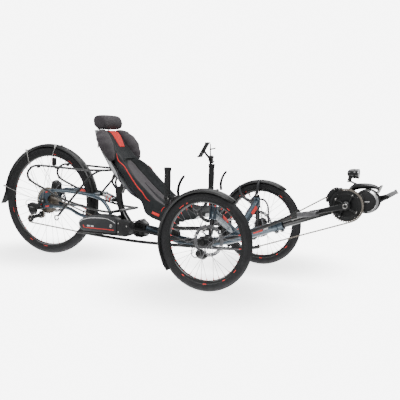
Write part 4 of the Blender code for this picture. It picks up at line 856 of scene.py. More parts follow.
# ------------------------------------------------------------------ steering
def steering():
    pivot = at(-0.072, 0, 0.238)
    path = [(GRIP_X, GRIP_Y, 0.579), (GRIP_X, GRIP_Y, 0.45), (GRIP_X, GRIP_Y, 0.35),
            (GRIP_X + 0.003, GRIP_Y - 0.005, 0.315), (GRIP_X + 0.013, GRIP_Y - 0.018, 0.284),
            (-0.242, 0.232, 0.268), (-0.18, 0.15, 0.262), (-0.115, 0.06, 0.254), (-0.084, 0.006, 0.252)]
    bars = [tube([at(x, side * y, z) for x, y, z in path], 0.011, 22, 6) for side in (1, -1)]
    bars.append(lathe([(0.0089, GAP), (0.018, GAP), (0.019, 0.0015), (0.019, 0.0295), (0.018, 0.031),
                       (0.0089, 0.031)], pivot, Z, 32, ring=True))
    make("bar_tube", bars, SATIN_BLACK, "steering_bar", "black_alloy", ["handlebar"], angle=50)
    arm = [(-0.144, -0.03), (-0.132, -0.033), (-0.062, -0.024), (-0.062, 0.024), (-0.132, 0.033), (-0.144, 0.03)]
    make("bar_plate", [loft([[at(x, y, z) for x, y in arm] for z in (0.268, 0.2725)])], ANODISED, "steering_bar",
         "black_alloy", bevel=0.001)
    for tag, side in SIDES:
        foot = at(GRIP_X, side * GRIP_Y, 0)
        profile = [(0.0112, 0.4375), (0.0175, 0.4375), (0.018, 0.4395), (0.018, 0.445), (0.016, 0.447)]
        steps = 26
        for i in range(steps):
            z = 0.449 + 0.108 * i / steps
            swell = 0.0158 + 0.0012 * math.sin(math.pi * i / steps)
            profile += [(swell, z), (swell + 0.0007, z + 0.0012), (swell + 0.0007, z + 0.0028), (swell, z + 0.0038)]
        profile += [(0.0165, 0.561), (0.019, 0.57), (0.0196, 0.576), (0.019, 0.582), (0.0165, 0.5838),
                    (0.0112, 0.5838)]
        make("grip_sleeve_" + tag, [lathe(profile, foot, Z, 32, ring=True)], RUBBER, "steering_bar", "grip_rubber",
             ["grip_" + tag], angle=30)
        make("grip_cap_" + tag, [rod(foot + Z * 0.579, foot + Z * 0.5845, 0.011, 20, round_off=0.0015)], PLASTIC,
             "steering_bar")
        clamp = foot + Z * 0.4255
        bodies = [lathe([(0.0112, -0.011), (0.015, -0.011), (0.0165, -0.009), (0.0165, 0.009), (0.015, 0.011),
                         (0.0112, 0.011)], clamp, Z, 28, ring=True),
                  tube([clamp + Vector((0.01, 0, 0)), clamp + Vector((0.03, 0, 0.001)),
                        clamp + Vector((0.046, 0, 0.006))], lambda t: 0.009 - 0.001 * t, 14, 5),
                  rod(clamp + Vector((0.028, 0, -0.024)), clamp + Vector((0.046, 0, 0.012)), 0.0078, 18,
                      round_off=0.0015)]
        make("brake_master_" + tag, bodies, ANODISED, "steering_bar", "black_alloy", angle=45)
        pod = clamp - Z * 0.02
        pods = [ring(pod, Z, 0.0155, 0.0112, -0.007, 0.007, 24),
                block(pod + Vector((-0.016, -side * 0.004 - 0.013, -0.01)),
                      pod + Vector((0.014, -side * 0.004 - 0.002, 0.01)))]
        make("shift_pod_" + tag, pods, PLASTIC, "steering_bar", bevel=0.0018)
        nub = pod + Vector((0.012, -side * 0.016, 0.0))
        make("shift_paddle_" + tag, [tube([nub, nub + Vector((0.012, -side * 0.002, 0.004)),
                                           nub + Vector((0.02, -side * 0.001, 0.012))], 0.0028, 10, 4)], PLASTIC,
             "steering_bar")
        make("master_screws_" + tag, [bolt(clamp + Vector((0.012, s * 0.0125, 0)), Y * s, 0.0032, 0.003)
                                      for s in (1, -1)], STEEL, "steering_bar")
        hinge = at(GRIP_X + 0.065, side * GRIP_Y, 0.44)
        blade = [hinge + Vector((x, 0, z)) for x, z in ((0.0, 0.0), (-0.003, 0.03), (0.003, 0.06), (0.014, 0.084),
                                                        (0.026, 0.1), (0.031, 0.102))]
        section = lambda t: [((0.0066 + 0.0012 * (1 - t)) * math.cos(a), (0.0066 - 0.0012 * t) * math.sin(a))
                             for a in [math.pi * k / 8 for k in range(16)]]
        lever = [sweep(smooth_path(blade, 6), section), rod(hinge - Y * 0.007, hinge + Y * 0.007, 0.0066, 20,
                                                            round_off=0.001)]
        make("lever_blade_" + tag, lever, ANODISED, tag + "_lever", "black_alloy", ["brake_lever_" + tag], angle=50)
    phone_holder()
    hoses()


GAP = 0.0003


def phone_holder():
    ball = at(-0.283, GRIP_Y, 0.608)
    body = [rod(at(GRIP_X, GRIP_Y, 0.586), at(-0.281, GRIP_Y, 0.604), 0.0125, 22, round_off=0.002),
            rod(at(GRIP_X, GRIP_Y, 0.5935), at(-0.278, GRIP_Y, 0.6), 0.0165, 26, round_off=0.0015),
            rod(at(-0.283, 0.257, 0.622), at(-0.283, 0.295, 0.622), 0.0115, 22, round_off=0.0015),
            rod(ball - Y * 0.013, ball + Y * 0.013, 0.0118, 26, round_off=0.002),
            tube([ball, at(-0.312, GRIP_Y, 0.637), at(-0.331, GRIP_Y, 0.66)], lambda t: 0.0076 - 0.0016 * t, 14, 6),
            tube([ball, at(-0.287, GRIP_Y, 0.65), at(-0.289, GRIP_Y, 0.702)], lambda t: 0.005 - 0.0022 * t, 12, 6),
            rod(at(-0.291, GRIP_Y, 0.668), at(-0.256, GRIP_Y, 0.676), 0.0045, 12, 0.0036)]
    make("phone_holder_arms", body, PLASTIC, "phone_holder", "black_plastic", ["phone_cradle"], angle=50)
    face = Vector((0.05, 0, 0.088)).normalized()
    normal = Vector((-face.z, 0, face.x))
    low = at(-0.36, GRIP_Y, 0.622)

    def slab(s0, s1, y0, y1, d0, d1):
        return loft([[low + face * s + Y * y + normal * d for s, y in ((s0, y0), (s1, y0), (s1, y1), (s0, y1))]
                     for d in (d0, d1)])

    make("phone_holder_back", [slab(0.003, 0.099, -0.028, 0.028, -0.0075, -0.0015)], PLASTIC, "phone_holder",
         bevel=0.003)
    jaws = [slab(s, s + 0.008, y, y + 0.014, -0.0078, 0.0005) for s in (0.0, 0.094)
            for y in (-0.031, -0.007, 0.017)]
    make("phone_holder_jaws", jaws, SATIN_BLACK, "phone_holder", bevel=0.0016)


def hoses():
    """A spiral-wrapped bundle of hoses and cables on the left arm."""
    route = [at(0.028, 0.3, 0.395), at(0.062, 0.268, 0.393), at(0.1, 0.215, 0.37), at(0.13, 0.14, 0.348),
             at(0.155, 0.07, 0.325), at(0.168, 0.036, 0.302)]
    path = smooth_path(route, 10)
    make("cable_core", [sweep(path, circle(0.0038, 12))], PLASTIC, "frame", "black_plastic", ["cable_bundle"],
         angle=60)
    wrap = []
    turns, count = 26, 520
    for i in range(count):
        t = i / (count - 1) * (len(path) - 1)
        k = min(int(t), len(path) - 2)
        here = path[k].lerp(path[k + 1], t - k)
        along = (path[k + 1] - path[k]).normalized()
        side = (Z - along * Z.dot(along)).normalized()
        angle = 2 * math.pi * turns * i / count
        wrap.append(here + (side * math.cos(angle) + along.cross(side) * math.sin(angle)) * 0.0046)
    make("cable_wrap", [sweep(wrap, circle(0.0011, 6))], GREY_PLASTIC, "frame", angle=60)


# ------------------------------------------------------------------ brakes
def calipers():
    for tag, side in SIDES:
        body = tag + "_knuckle"
        disc = side * DISC_Y
        outline = [(-0.06, 0.191), (-0.044, 0.198), (-0.02, 0.184), (-0.008, 0.159), (-0.021, 0.146),
                   (-0.05, 0.151), (-0.068, 0.17)]
        halves, details = [], []
        for shift, thick in ((-0.0165, 0.014), (0.0025, 0.006)):
            y0 = disc + side * shift
            low, high = sorted((y0, y0 + side * thick))
            halves.append(plate(outline, low, high))
        bridge = [(-0.068, 0.17), (-0.05, 0.151), (-0.021, 0.146), (-0.026, 0.156), (-0.05, 0.16), (-0.061, 0.172)]
        low, high = sorted((disc - side * 0.016, disc + side * 0.008))
        halves.append(plate(bridge, low, high))
        make("caliper_halves_" + tag, halves, GLOSS_BLACK, body, "black_alloy", ["brake_caliper_" + tag],
             bevel=0.0022)
        for x, z in ((-0.055, 0.164), (-0.022, 0.156)):
            details.append(bolt(at(x, disc + side * 0.0085, z), Y * side, 0.0045, 0.0035))
        details.append(rod(at(-0.037, disc - side * 0.0165, 0.174), at(-0.037, disc - side * 0.02, 0.174), 0.0115,
                           24, round_off=0.001))
        make("caliper_bolts_" + tag, details, ANODISED, body)
        hose = [at(-0.055, disc - side * 0.01, 0.158), at(-0.078, disc - side * 0.011, 0.15),
                at(-0.096, disc - side * 0.014, 0.168), at(-0.09, disc - side * 0.02, 0.215),
                at(-0.06, disc - side * 0.02, 0.29), at(-0.034, disc - side * 0.014, 0.352)]
        make("caliper_hose_" + tag, [tube(hose, 0.0026, 10, 7)], PLASTIC, body, angle=60)
        band = [rod(at(-0.055, disc - side * 0.01, 0.158), at(-0.073, disc - side * 0.01, 0.149), 0.0042, 12,
                    0.0034)]
        make("caliper_banjo_" + tag, band, STEEL, body)


# ------------------------------------------------------------------ boom, motor and cranks
def boom():
    shell = lathe([(0.0131, -0.036), (0.0215, -0.036), (0.0228, -0.034), (0.0228, 0.034), (0.0215, 0.036),
                   (0.0131, 0.036)], BB, Y, 40, ring=True)
    tubes = [rod(BB - BOOM * 0.462, BB - BOOM * 0.012, 0.0205, 36, round_off=0.001), shell,
             tube([at(0.572, 0, 0.44), at(0.552, 0, 0.47), at(0.545, 0, 0.512)], lambda t: 0.014 - 0.001 * t, 24,
                  8)]
    make("boom_tube", tubes, GLOSS_BLACK, "boom_unit", "black_alloy", ["boom"], angle=50)
    pale = []
    for first, last in ((66, 74), (-74, -66)):
        pale.append(patch(BB - BOOM * 0.3, BB - BOOM * 0.24, 0.0205, first, last))
        pale.append(patch(BB - BOOM * 0.23, BB - BOOM * 0.21, 0.0205, first, last))
    make("boom_stripes", pale, PALE, "boom_unit")
    scale = [patch(BB - BOOM * (0.2 + 0.01 * i), BB - BOOM * (0.2012 + 0.01 * i), 0.0205, -8, 8 if i % 5 else 14)
             for i in range(14)]
    make("boom_length_marks", scale, PALE, "boom_unit")


MOTOR = at(0.685, 0, 0.456)


def motor():
    drum = [(0.04, -0.032), (0.0555, -0.0305), (0.058, -0.028), (0.058, -0.012), (0.0568, -0.0105),
            (0.0568, -0.0085), (0.058, -0.007), (0.058, 0.036), (0.056, 0.042), (0.049, 0.048), (0.042, 0.0515),
            (0.02, 0.0525)]
    make("motor_drum", [lathe(drum, MOTOR, Y, 64)], SATIN_BLACK, "boom_unit", "black_alloy", ["motor_housing"])
    cap = [(0.0482, -0.0315), (0.0482, -0.036), (0.0465, -0.0382), (0.042, -0.0392), (0.02, -0.0404),
           (0.001, -0.0406)]
    make("motor_cap", [lathe(cap, MOTOR, Y, 64)], PLASTIC, "boom_unit", "grey_plastic")
    # One crescent of the cap's rim is drawn in polished alloy as a painted highlight; the rest of the rim is satin
    # black.
    rim = [(0.0484, -0.0318), (0.0484, -0.0375), (0.051, -0.0385), (0.0582, -0.0345), (0.0588, -0.029),
           (0.0575, -0.027), (0.051, -0.03)]
    make("motor_rim_painted_highlight", [lathe(rim, MOTOR, Y, 48, ring=True, first=20, sweep=150)], SILVER, "boom_unit",
         "alloy")
    lower = [(r + 0.0002, y + 0.0006) for r, y in rim]
    make("motor_dark_rim", [lathe(lower, MOTOR, Y, 48, ring=True, first=172, sweep=206)], SATIN_BLACK, "boom_unit")
    cases, screws = [], []
    for low, high in ((-0.044, -0.0368), (0.0368, 0.0455)):
        outline = [(0.594 + 0.016, 0.43 + 0.024), (0.64, 0.478), (0.662, 0.494), (0.678, 0.47), (0.682, 0.44),
                   (0.66, 0.418), (0.636, 0.408), (0.594 + 0.012, 0.43 - 0.026)]
        cases.append(ring(BB, Y, 0.056, 0.0135, low, high, 56))
        cases.append(plate(outline, low + 0.0004, high - 0.0004))
        face = low if low < 0 else high
        for x, z in ((0.646, 0.472), (0.646, 0.422), (0.67, 0.448)):
            screws.append(bolt(at(x, face, z), Y * math.copysign(1, face), 0.0042, 0.003))
    make("motor_case_plates", cases, SATIN_BLACK, "boom_unit", "black_alloy", bevel=0.0018)
    fins = [ring(MOTOR, Y, 0.0596, 0.057, y, y + 0.0022, 56) for y in (0.002, 0.009, 0.016, 0.023, 0.03)]
    make("motor_fins", fins, SATIN_BLACK, "boom_unit")
    screws += [bolt(polar(MOTOR, 0.051, a, -0.0375), -Y, 0.0026, 0.002) for a in (20, 80, 140, 200, 260, 320)]
    make("motor_screws", screws, STEEL, "boom_unit")
    bar = [MOTOR + Vector((x, -0.041, z)) for x, z in ((-0.01, -0.0035), (0.018, -0.001), (0.018, 0.003),
                                                       (-0.01, 0.0008))]
    make("motor_cap_bar", [(bar, [(0, 1, 2, 3)])], WHITE, "boom_unit")


def accessories():
    arm = [at(0.592, 0, 0.4535), at(0.596, 0, 0.486), at(0.607, 0, 0.509), at(0.63, 0, 0.524), at(0.683, 0, 0.53),
           at(0.718, 0, 0.527), at(0.738, 0, 0.518)]
    parts = [tube(arm, lambda t: 0.009 + 0.0062 * math.sin(math.pi * min(1, t * 1.12)), 22, 7),
             tube([at(0.634, 0, 0.524), at(0.614, 0, 0.541), at(0.5925, 0, 0.549)], 0.0048, 12, 5),
             rod(at(0.59, -0.0095, 0.55), at(0.59, 0.0095, 0.55), 0.0064, 20, round_off=0.001),
             rod(at(0.622, -0.008, 0.536), at(0.63, 0.008, 0.53), 0.0085, 18, round_off=0.0015)]
    make("accessory_bar", parts, GLOSS_BLACK, "boom_unit", "black_alloy", ["accessory_arm"], angle=50)
    frame_side = [(0.728, 0.495), (0.733, 0.494), (0.75, 0.536), (0.745, 0.5375)]
    make("reflector_frame", [plate(frame_side, -0.031, 0.031)], PLASTIC, "boom_unit", "black_plastic", bevel=0.0012)
    lens_side = [(0.7338, 0.4975), (0.7362, 0.4965), (0.7524, 0.534), (0.75, 0.535)]
    make("reflector_lens", [plate(lens_side, -0.0285, 0.0285)], LENS, "boom_unit", "lamp", bevel=0.0008)
    centre = at(0.61, 0, 0.587)
    shell = [(0.001, -0.03), (0.007, -0.0293), (0.013, -0.0268), (0.018, -0.0215), (0.0215, -0.0145),
             (0.0232, -0.006), (0.0236, 0.002), (0.0242, 0.0035), (0.0242, 0.0075), (0.0236, 0.0085),
             (0.024, 0.018), (0.0248, 0.0205), (0.0248, 0.0262), (0.0238, 0.0272), (0.0226, 0.0272),
             (0.0222, 0.018), (0.01, 0.01)]
    make("headlamp_shell", [lathe(shell, centre, X, 44)], GLOSS_BLACK, "headlight", "lamp", ["headlamp"], angle=35)
    make("headlamp_lens", [lathe([(0.001, 0.0268), (0.012, 0.0262), (0.0225, 0.0245), (0.0225, 0.021),
                                  (0.001, 0.021)], centre, X, 40)], LENS, "headlight", "lamp")
    make("headlamp_bezel", [ring(centre, X, 0.0246, 0.0222, 0.0205, 0.0282, 44)], SILVER, "headlight", bevel=0.0006)
    legs = [plate([(0.583, 0.5435), (0.597, 0.5435), (0.605, 0.57), (0.588, 0.572)], side * 0.0098, side * 0.0125)
            for side in (1, -1)]
    make("headlamp_bracket", legs, SATIN_BLACK, "headlight", bevel=0.0006)
    make("headlamp_screws", [bolt(at(0.59, side * 0.0125, 0.55), Y * side, 0.0045, 0.003) for side in (1, -1)],
         STEEL, "headlight")


ARM = turned(X, CRANK_ANGLE)


def crank_arm(side, inner, outer):
    """One forged arm: a round hub, a fluted beam and an eye for the pedal."""
    along = ARM * side * CRANK
    across = turned(along.normalized(), 90)
    sections = []
    for share, half, rise in ((-0.115, 0.01, 0), (-0.095, 0.0165, 0), (-0.04, 0.0205, 0), (0.04, 0.02, 0),
                              (0.13, 0.016, 0.0004), (0.3, 0.0142, 0.001), (0.55, 0.0128, 0.0012),
                              (0.8, 0.012, 0.0008), (0.93, 0.013, 0), (1.02, 0.0132, 0), (1.06, 0.0105, 0),
                              (1.075, 0.006, 0)):
        centre = BB + along * share
        row = []
        for i in range(16):
            angle = 2 * math.pi * i / 16
            u = math.copysign(abs(math.cos(angle)) ** 0.55, math.cos(angle))
            v = math.copysign(abs(math.sin(angle)) ** 0.65, math.sin(angle))
            y = side * ((inner + outer) / 2 + v * (outer - inner) / 2)
            if v > 0 and abs(u) < 0.5 and 0.1 < share < 0.9:
                y -= side * rise
            row.append(centre + across * half * u + Y * y)
        sections.append(row)
    return loft(sections)


def cranks():
    right = [crank_arm(-1, 0.064, 0.0785), rod(BB - Y * 0.078, BB - Y * 0.064, 0.0215, 40, round_off=0.003),
             rod(BB - Y * 0.06, BB + Y * 0.065, 0.0118, 28)]
    make("crank_arm_right", right, GLOSS_BLACK, "crankset", "black_alloy", ["crank_right"], angle=45)
    make("crank_arm_left", [crank_arm(1, 0.0665, 0.081),
                            rod(BB + Y * 0.0653, BB + Y * 0.0805, 0.0205, 40, round_off=0.003)], GLOSS_BLACK,
         "crankset", "black_alloy", ["crank_left"], angle=45)
    bolts = []
    for side, face in ((-1, 0.0785), (1, 0.081)):
        out = Y * side
        bolts.append(lathe([(0.0125, 0), (0.0125, 0.0012), (0.0105, 0.0022), (0.0078, 0.0022), (0.0075, 0.0006),
                            (0.005, 0.0004)], BB + out * (face - 0.001), out, 32))
        bolts.append(lathe([(0.009, 0), (0.009, 0.001), (0.007, 0.0018), (0.0035, 0.0018), (0.0034, 0.0002)],
                           BB + ARM * side * CRANK + out * (face - 0.001), out, 24))
    make("crank_bolts", bolts, STEEL, "crankset")
    spider = []
    for i in range(4):
        angle = CRANK_ANGLE + 45 + 90 * i
        points = [polar(BB, r, angle + turn, -0.057) for r, turn in ((0.014, -14), (0.034, -5), (0.06, 0))]
        spider.append(sweep(smooth_path(points, 6), bar_section(0.003, 0.0105, 0.0045)))
        spider.append(rod(polar(BB, 0.059, angle, -0.0605), polar(BB, 0.059, angle, -0.0535), 0.0088, 20,
                          round_off=0.001))
    spider.append(rod(BB - Y * 0.064, BB - Y * 0.054, 0.0225, 40, round_off=0.002))
    make("chainring_spider", spider, GLOSS_BLACK, "crankset", "black_alloy", bevel=0.0008)
    bolts = [bolt(polar(BB, 0.059, CRANK_ANGLE + 45 + 90 * i, -0.0605), -Y, 0.0046, 0.0022) for i in range(4)]
    make("chainring_bolts", bolts, STEEL, "crankset")
    flat = Vector((BB.x, 0, BB.z))
    make("chainring_teeth", [toothed(flat, 41, 0.0775, 0.0838, 0.0735, -0.0512, -0.049)], CHAIN, "crankset",
         "steel", ["chainrings"])
    make("chainring_body", [lathe([(0.056, -0.0518), (0.0585, -0.053), (0.0735, -0.053), (0.0748, -0.0518),
                                   (0.0748, -0.0486), (0.056, -0.0486)], flat, Y, 72, ring=True)], SATIN_BLACK,
         "crankset", "black_alloy")
    make("chainring_inner", [toothed(flat, 30, 0.058, 0.0628, 0.048, -0.047, -0.045)], SATIN_BLACK, "crankset",
         "steel")
    make("chainring_pins", [rod(polar(flat, 0.07, 40 + 90 * i, -0.0536), polar(flat, 0.07, 40 + 90 * i, -0.0482),
                                0.0022, 10) for i in range(4)], STEEL, "crankset")
    for tag, side, lean in (("right", -1, 8.0), ("left", 1, 32.0)):
        pedal(tag, side, lean)


def pedal(tag, side, lean):
    """A cage with toothed rims round a barrel on its spindle."""
    end = BB + ARM * side * CRANK
    length = turned(X, lean)
    height = turned(Z, lean)

    def place(a, y, b):
        return end + length * a + height * b + Y * (side * y)

    cage = []
    for sign in (1, -1):
        rows = []
        for a0 in (0.0445, 0.047):
            line = []
            for k in range(27):
                y = 0.1 + 0.06 * k / 26
                line.append(place(sign * a0, y, 0.0125 if k % 2 else 0.01))
            rows.append(line + [place(sign * a0, p, -0.0125 if k % 2 else -0.01) for k,
                                p in enumerate(0.16 - 0.06 * j / 26 for j in range(27))])
        cage.append(loft(rows))
    for y0, y1 in ((0.0985, 0.101), (0.16, 0.1625)):
        cage.append(loft([[place(a, y, b) for a, b in ((-0.0465, -0.0095), (-0.02, -0.012), (0.02, -0.012),
                                                       (0.0465, -0.0095), (0.0465, 0.0095), (0.02, 0.012),
                                                       (-0.02, 0.012), (-0.0465, 0.0095))] for y in (y0, y1)]))
    body = [rod(place(0, 0.101, 0), place(0, 0.16, 0), 0.0125, 28, round_off=0.0015)]
    for y in (0.112, 0.131, 0.15):
        body.append(loft([[place(a, y + w, b) for w, b in ((-0.004, -0.006), (0.004, -0.006), (0.004, 0.006),
                                                           (-0.004, 0.006))] for a in (-0.045, 0.045)]))
    # The two pedals are one pair, but the left one is drawn in bright silver and the right one in dark alloy and
    # black: painted light on the one and painted shade on the other.
    make("pedal_cage_" + tag, cage, SILVER if side > 0 else DARK_ALLOY, tag + "_pedal", "alloy", ["pedal_" + tag],
         bevel=0.0003)
    make("pedal_body_" + tag, body, SILVER if side > 0 else SATIN_BLACK, tag + "_pedal", "alloy", bevel=0.0008)
    make("pedal_spindle_" + tag, [rod(place(0, 0.0822, 0), place(0, 0.1, 0), 0.0078, 24, 0.009, 0.0008),
                                  rod(place(0, 0.0824, 0), place(0, 0.085, 0), 0.0095, 6)], STEEL, tag + "_pedal")


def front_shifter():
    """A chunky cover arching over the ring's upper rear, on a link from its post."""
    def arch(first, last, low_r, high_r, low_y, high_y):
        sections = []
        for i in range(19):
            angle = first + (last - first) * i / 18
            fat = 1 - 0.35 * abs(2 * i / 18 - 1) ** 3
            top = low_r + (high_r - low_r) * fat
            sections.append([polar(BB, r, angle, y) for r,
                             y in ((low_r, low_y), (low_r, high_y), (top - 0.004, high_y), (top, high_y - 0.005),
                                   (top, low_y + 0.005), (top - 0.004, low_y))])
        return loft(sections)

    parts = [arch(118, 172, 0.0885, 0.108, -0.0625, -0.0395), arch(108, 186, 0.07, 0.0885, -0.0598, -0.0575),
             arch(108, 190, 0.069, 0.0885, -0.0439, -0.042)]
    make("shifter_cover", parts, SATIN_BLACK, "shifter_cage", "black_alloy", ["front_derailleur"], bevel=0.001,
         angle=42)
    link = [rod(at(0.547, -0.0425, 0.498), at(0.547, -0.0165, 0.498), 0.0085, 22, round_off=0.001),
            tube([at(0.52, -0.04, 0.5), at(0.532, -0.03, 0.502), at(0.547, -0.026, 0.4985)], 0.006, 12, 5)]
    make("shifter_link", link, ANODISED, "shifter_cage", "black_alloy")
    make("shifter_screws", [bolt(polar(BB, 0.099, a, -0.0625), -Y, 0.0036, 0.0026) for a in (128, 160)], STEEL,
         "shifter_cage")
    clamp = [ring(at(0.5455, 0, 0.498), Vector((-0.35, 0, 1)), 0.0182, 0.0136, -0.009, 0.009, 36)]
    make("shifter_clamp", clamp, ANODISED, "boom_unit", bevel=0.0008)


# ------------------------------------------------------------------ chain
def belt_path(wheels, step=8):
    """Points of a belt round (x, z, radius, turn) wheels; turn is 1 against the clock, else -1."""
    lines = []
    for (x0, z0, r0, t0), (x1, z1, r1, t1) in zip(wheels, wheels[1:]):
        gap = Vector((x1 - x0, z1 - z0))
        lines.append(math.atan2(gap.y, gap.x) - math.asin((t1 * r1 - t0 * r0) / gap.length))
    points = []
    for i, (x, z, radius, turn) in enumerate(wheels):
        into, away = lines[max(0, i - 1)], lines[min(len(lines) - 1, i)]
        if radius == 0:
            points.append((x, z))
            continue
        bend = (away - into) % (2 * math.pi) if turn > 0 else -((into - away) % (2 * math.pi))
        stops = max(1, math.ceil(abs(math.degrees(bend)) / step))
        for j in range(stops + 1):
            heading = into + bend * j / stops
            points.append((x + turn * radius * math.sin(heading), z - turn * radius * math.cos(heading)))
    return points


def links(points):
    """A roller chain: plates and rollers at every pitch along (x, z) points."""
    pins, carry = [Vector(points[0])], 0.0
    for a, b in zip(points, points[1:]):
        a, b = Vector(a), Vector(b)
        run, gone = (b - a).length, CHAIN_PITCH - carry
        while gone <= run:
            pins.append(a.lerp(b, gone / run))
            gone += CHAIN_PITCH
        carry = run - (gone - CHAIN_PITCH)
    plates, rollers = [], []
    for i, (a, b) in enumerate(zip(pins, pins[1:])):
        along = (b - a).normalized()
        out = Vector((-along.y, along.x))
        outline = []
        for end, way in ((a, -1), (b, 1)):
            for k in (-2, -1, 0, 1, 2):
                turn = math.radians(42 * k)
                outline.append(end + along * way * 0.004 * math.cos(turn) + out * way * 0.004 * math.sin(turn))
            outline.append((a + b) / 2 + out * way * 0.0028)
        y = 0.0024 if i % 2 else 0.0036
        for side in (1, -1):
            low = CHAIN_Y + side * y
            plates.append(loft([[at(p.x, q, p.y) for p in outline] for q in (low, low + side * 0.0009)]))
        rollers.append(rod(at(a.x, CHAIN_Y - 0.0024, a.y), at(a.x, CHAIN_Y + 0.0024, a.y), 0.0036, 10))
        rollers.append(rod(at(a.x, CHAIN_Y - 0.0048, a.y), at(a.x, CHAIN_Y + 0.0048, a.y), 0.0016, 8))
    return plates, rollers


def chain_line():
    front = belt_path([(0.346, 0.378, 0, 0), (0.594, 0.43, 0.082, -1), (0.136, 0.18, 0, 0)])
    mid = 0.0045
    rear = belt_path([(-0.674, 0.2177, 0, 0), (-0.735, 0.25, 0.0275 + mid, -1), (-1.227, 0.3265, 0.0395, 1),
                      (-1.256, 0.243, 0.0185 + mid, -1), (-1.331, 0.209, 0.0185 + mid, 1), (-0.968, 0.158, 0, 0)])
    for name, points, body in (("front", front, "boom_unit"), ("rear", rear, "rear_arm")):
        plates, rollers = links(points)
        make("chain_plates_" + name, plates, CHAIN, body, "chain_steel", ["chain_" + name])
        make("chain_rollers_" + name, rollers, STEEL, body, "chain_steel", angle=50)
    upper = [(0.28, 0.339), (0.2, 0.3), (0.09, 0.252), (0.0, 0.215), (-0.11, 0.186), (-0.26, 0.176), (-0.42, 0.187),
             (-0.56, 0.206)]
    lower = [(0.0, 0.157), (-0.187, 0.148), (-0.452, 0.1405), (-0.62, 0.1405), (-0.8, 0.148)]
    for name, route, first, last in (("upper", upper, front[:2], rear[:2]),
                                     ("lower", lower, front[-2:][::-1], rear[-2:][::-1])):
        ends = []
        for end, before in (first, last):
            along = (Vector(before) - Vector(end)).normalized()
            ends.append([Vector(end) - along * 0.012, Vector(end) + along * 0.014])
        path = [ends[0][1], ends[0][0], *route, *ends[1]]
        places = [at(x, CHAIN_Y, z) for x, z in path]
        curve = smooth_path(places, 7)
        rows = []
        for radius in (0.0088, 0.0072):
            rows.append(sweep(curve, circle(radius, 20)))
        verts = rows[0][0] + rows[1][0]
        count, n = len(curve), 20
        faces = [f for f in rows[0][1] if len(f) == 4] + [tuple(i + count * n for i in f) for f in rows[1][1]
                                                          if len(f) == 4]
        for base in (0, (count - 1) * n):
            faces += [(base + j, base + (j + 1) % n, count * n + base + (j + 1) % n, count * n + base + j)
                      for j in range(n)]
        make("chain_tube_sleeve_" + name, [(verts, faces)], PLASTIC, "frame", "black_plastic",
             ["chain_tube_" + name], angle=50)
        flares = []
        for end, inside in ((places[0], places[1]), (places[-1], places[-2])):
            along = (end - inside).normalized()
            flares.append(lathe([(0.0072, -0.006), (0.0096, -0.006), (0.012, 0.0005), (0.0124, 0.0018),
                                 (0.0112, 0.0022), (0.008, -0.002)], end, along, 24, ring=True))
        make("chain_tube_flares_" + name, flares, PLASTIC, "frame")
    hub = at(-0.735, CHAIN_Y, 0.25)
    make("idler_teeth", [toothed(hub, 16, 0.0275, 0.0335, 0.02, -0.0016, 0.0016)], GREY_PLASTIC, "idler",
         "black_plastic", ["chain_idler"])
    make("idler_hub", [ring(hub, Y, 0.0225, 0.0095, -0.0055, 0.0055, 40)], ANODISED, "idler", bevel=0.0008)


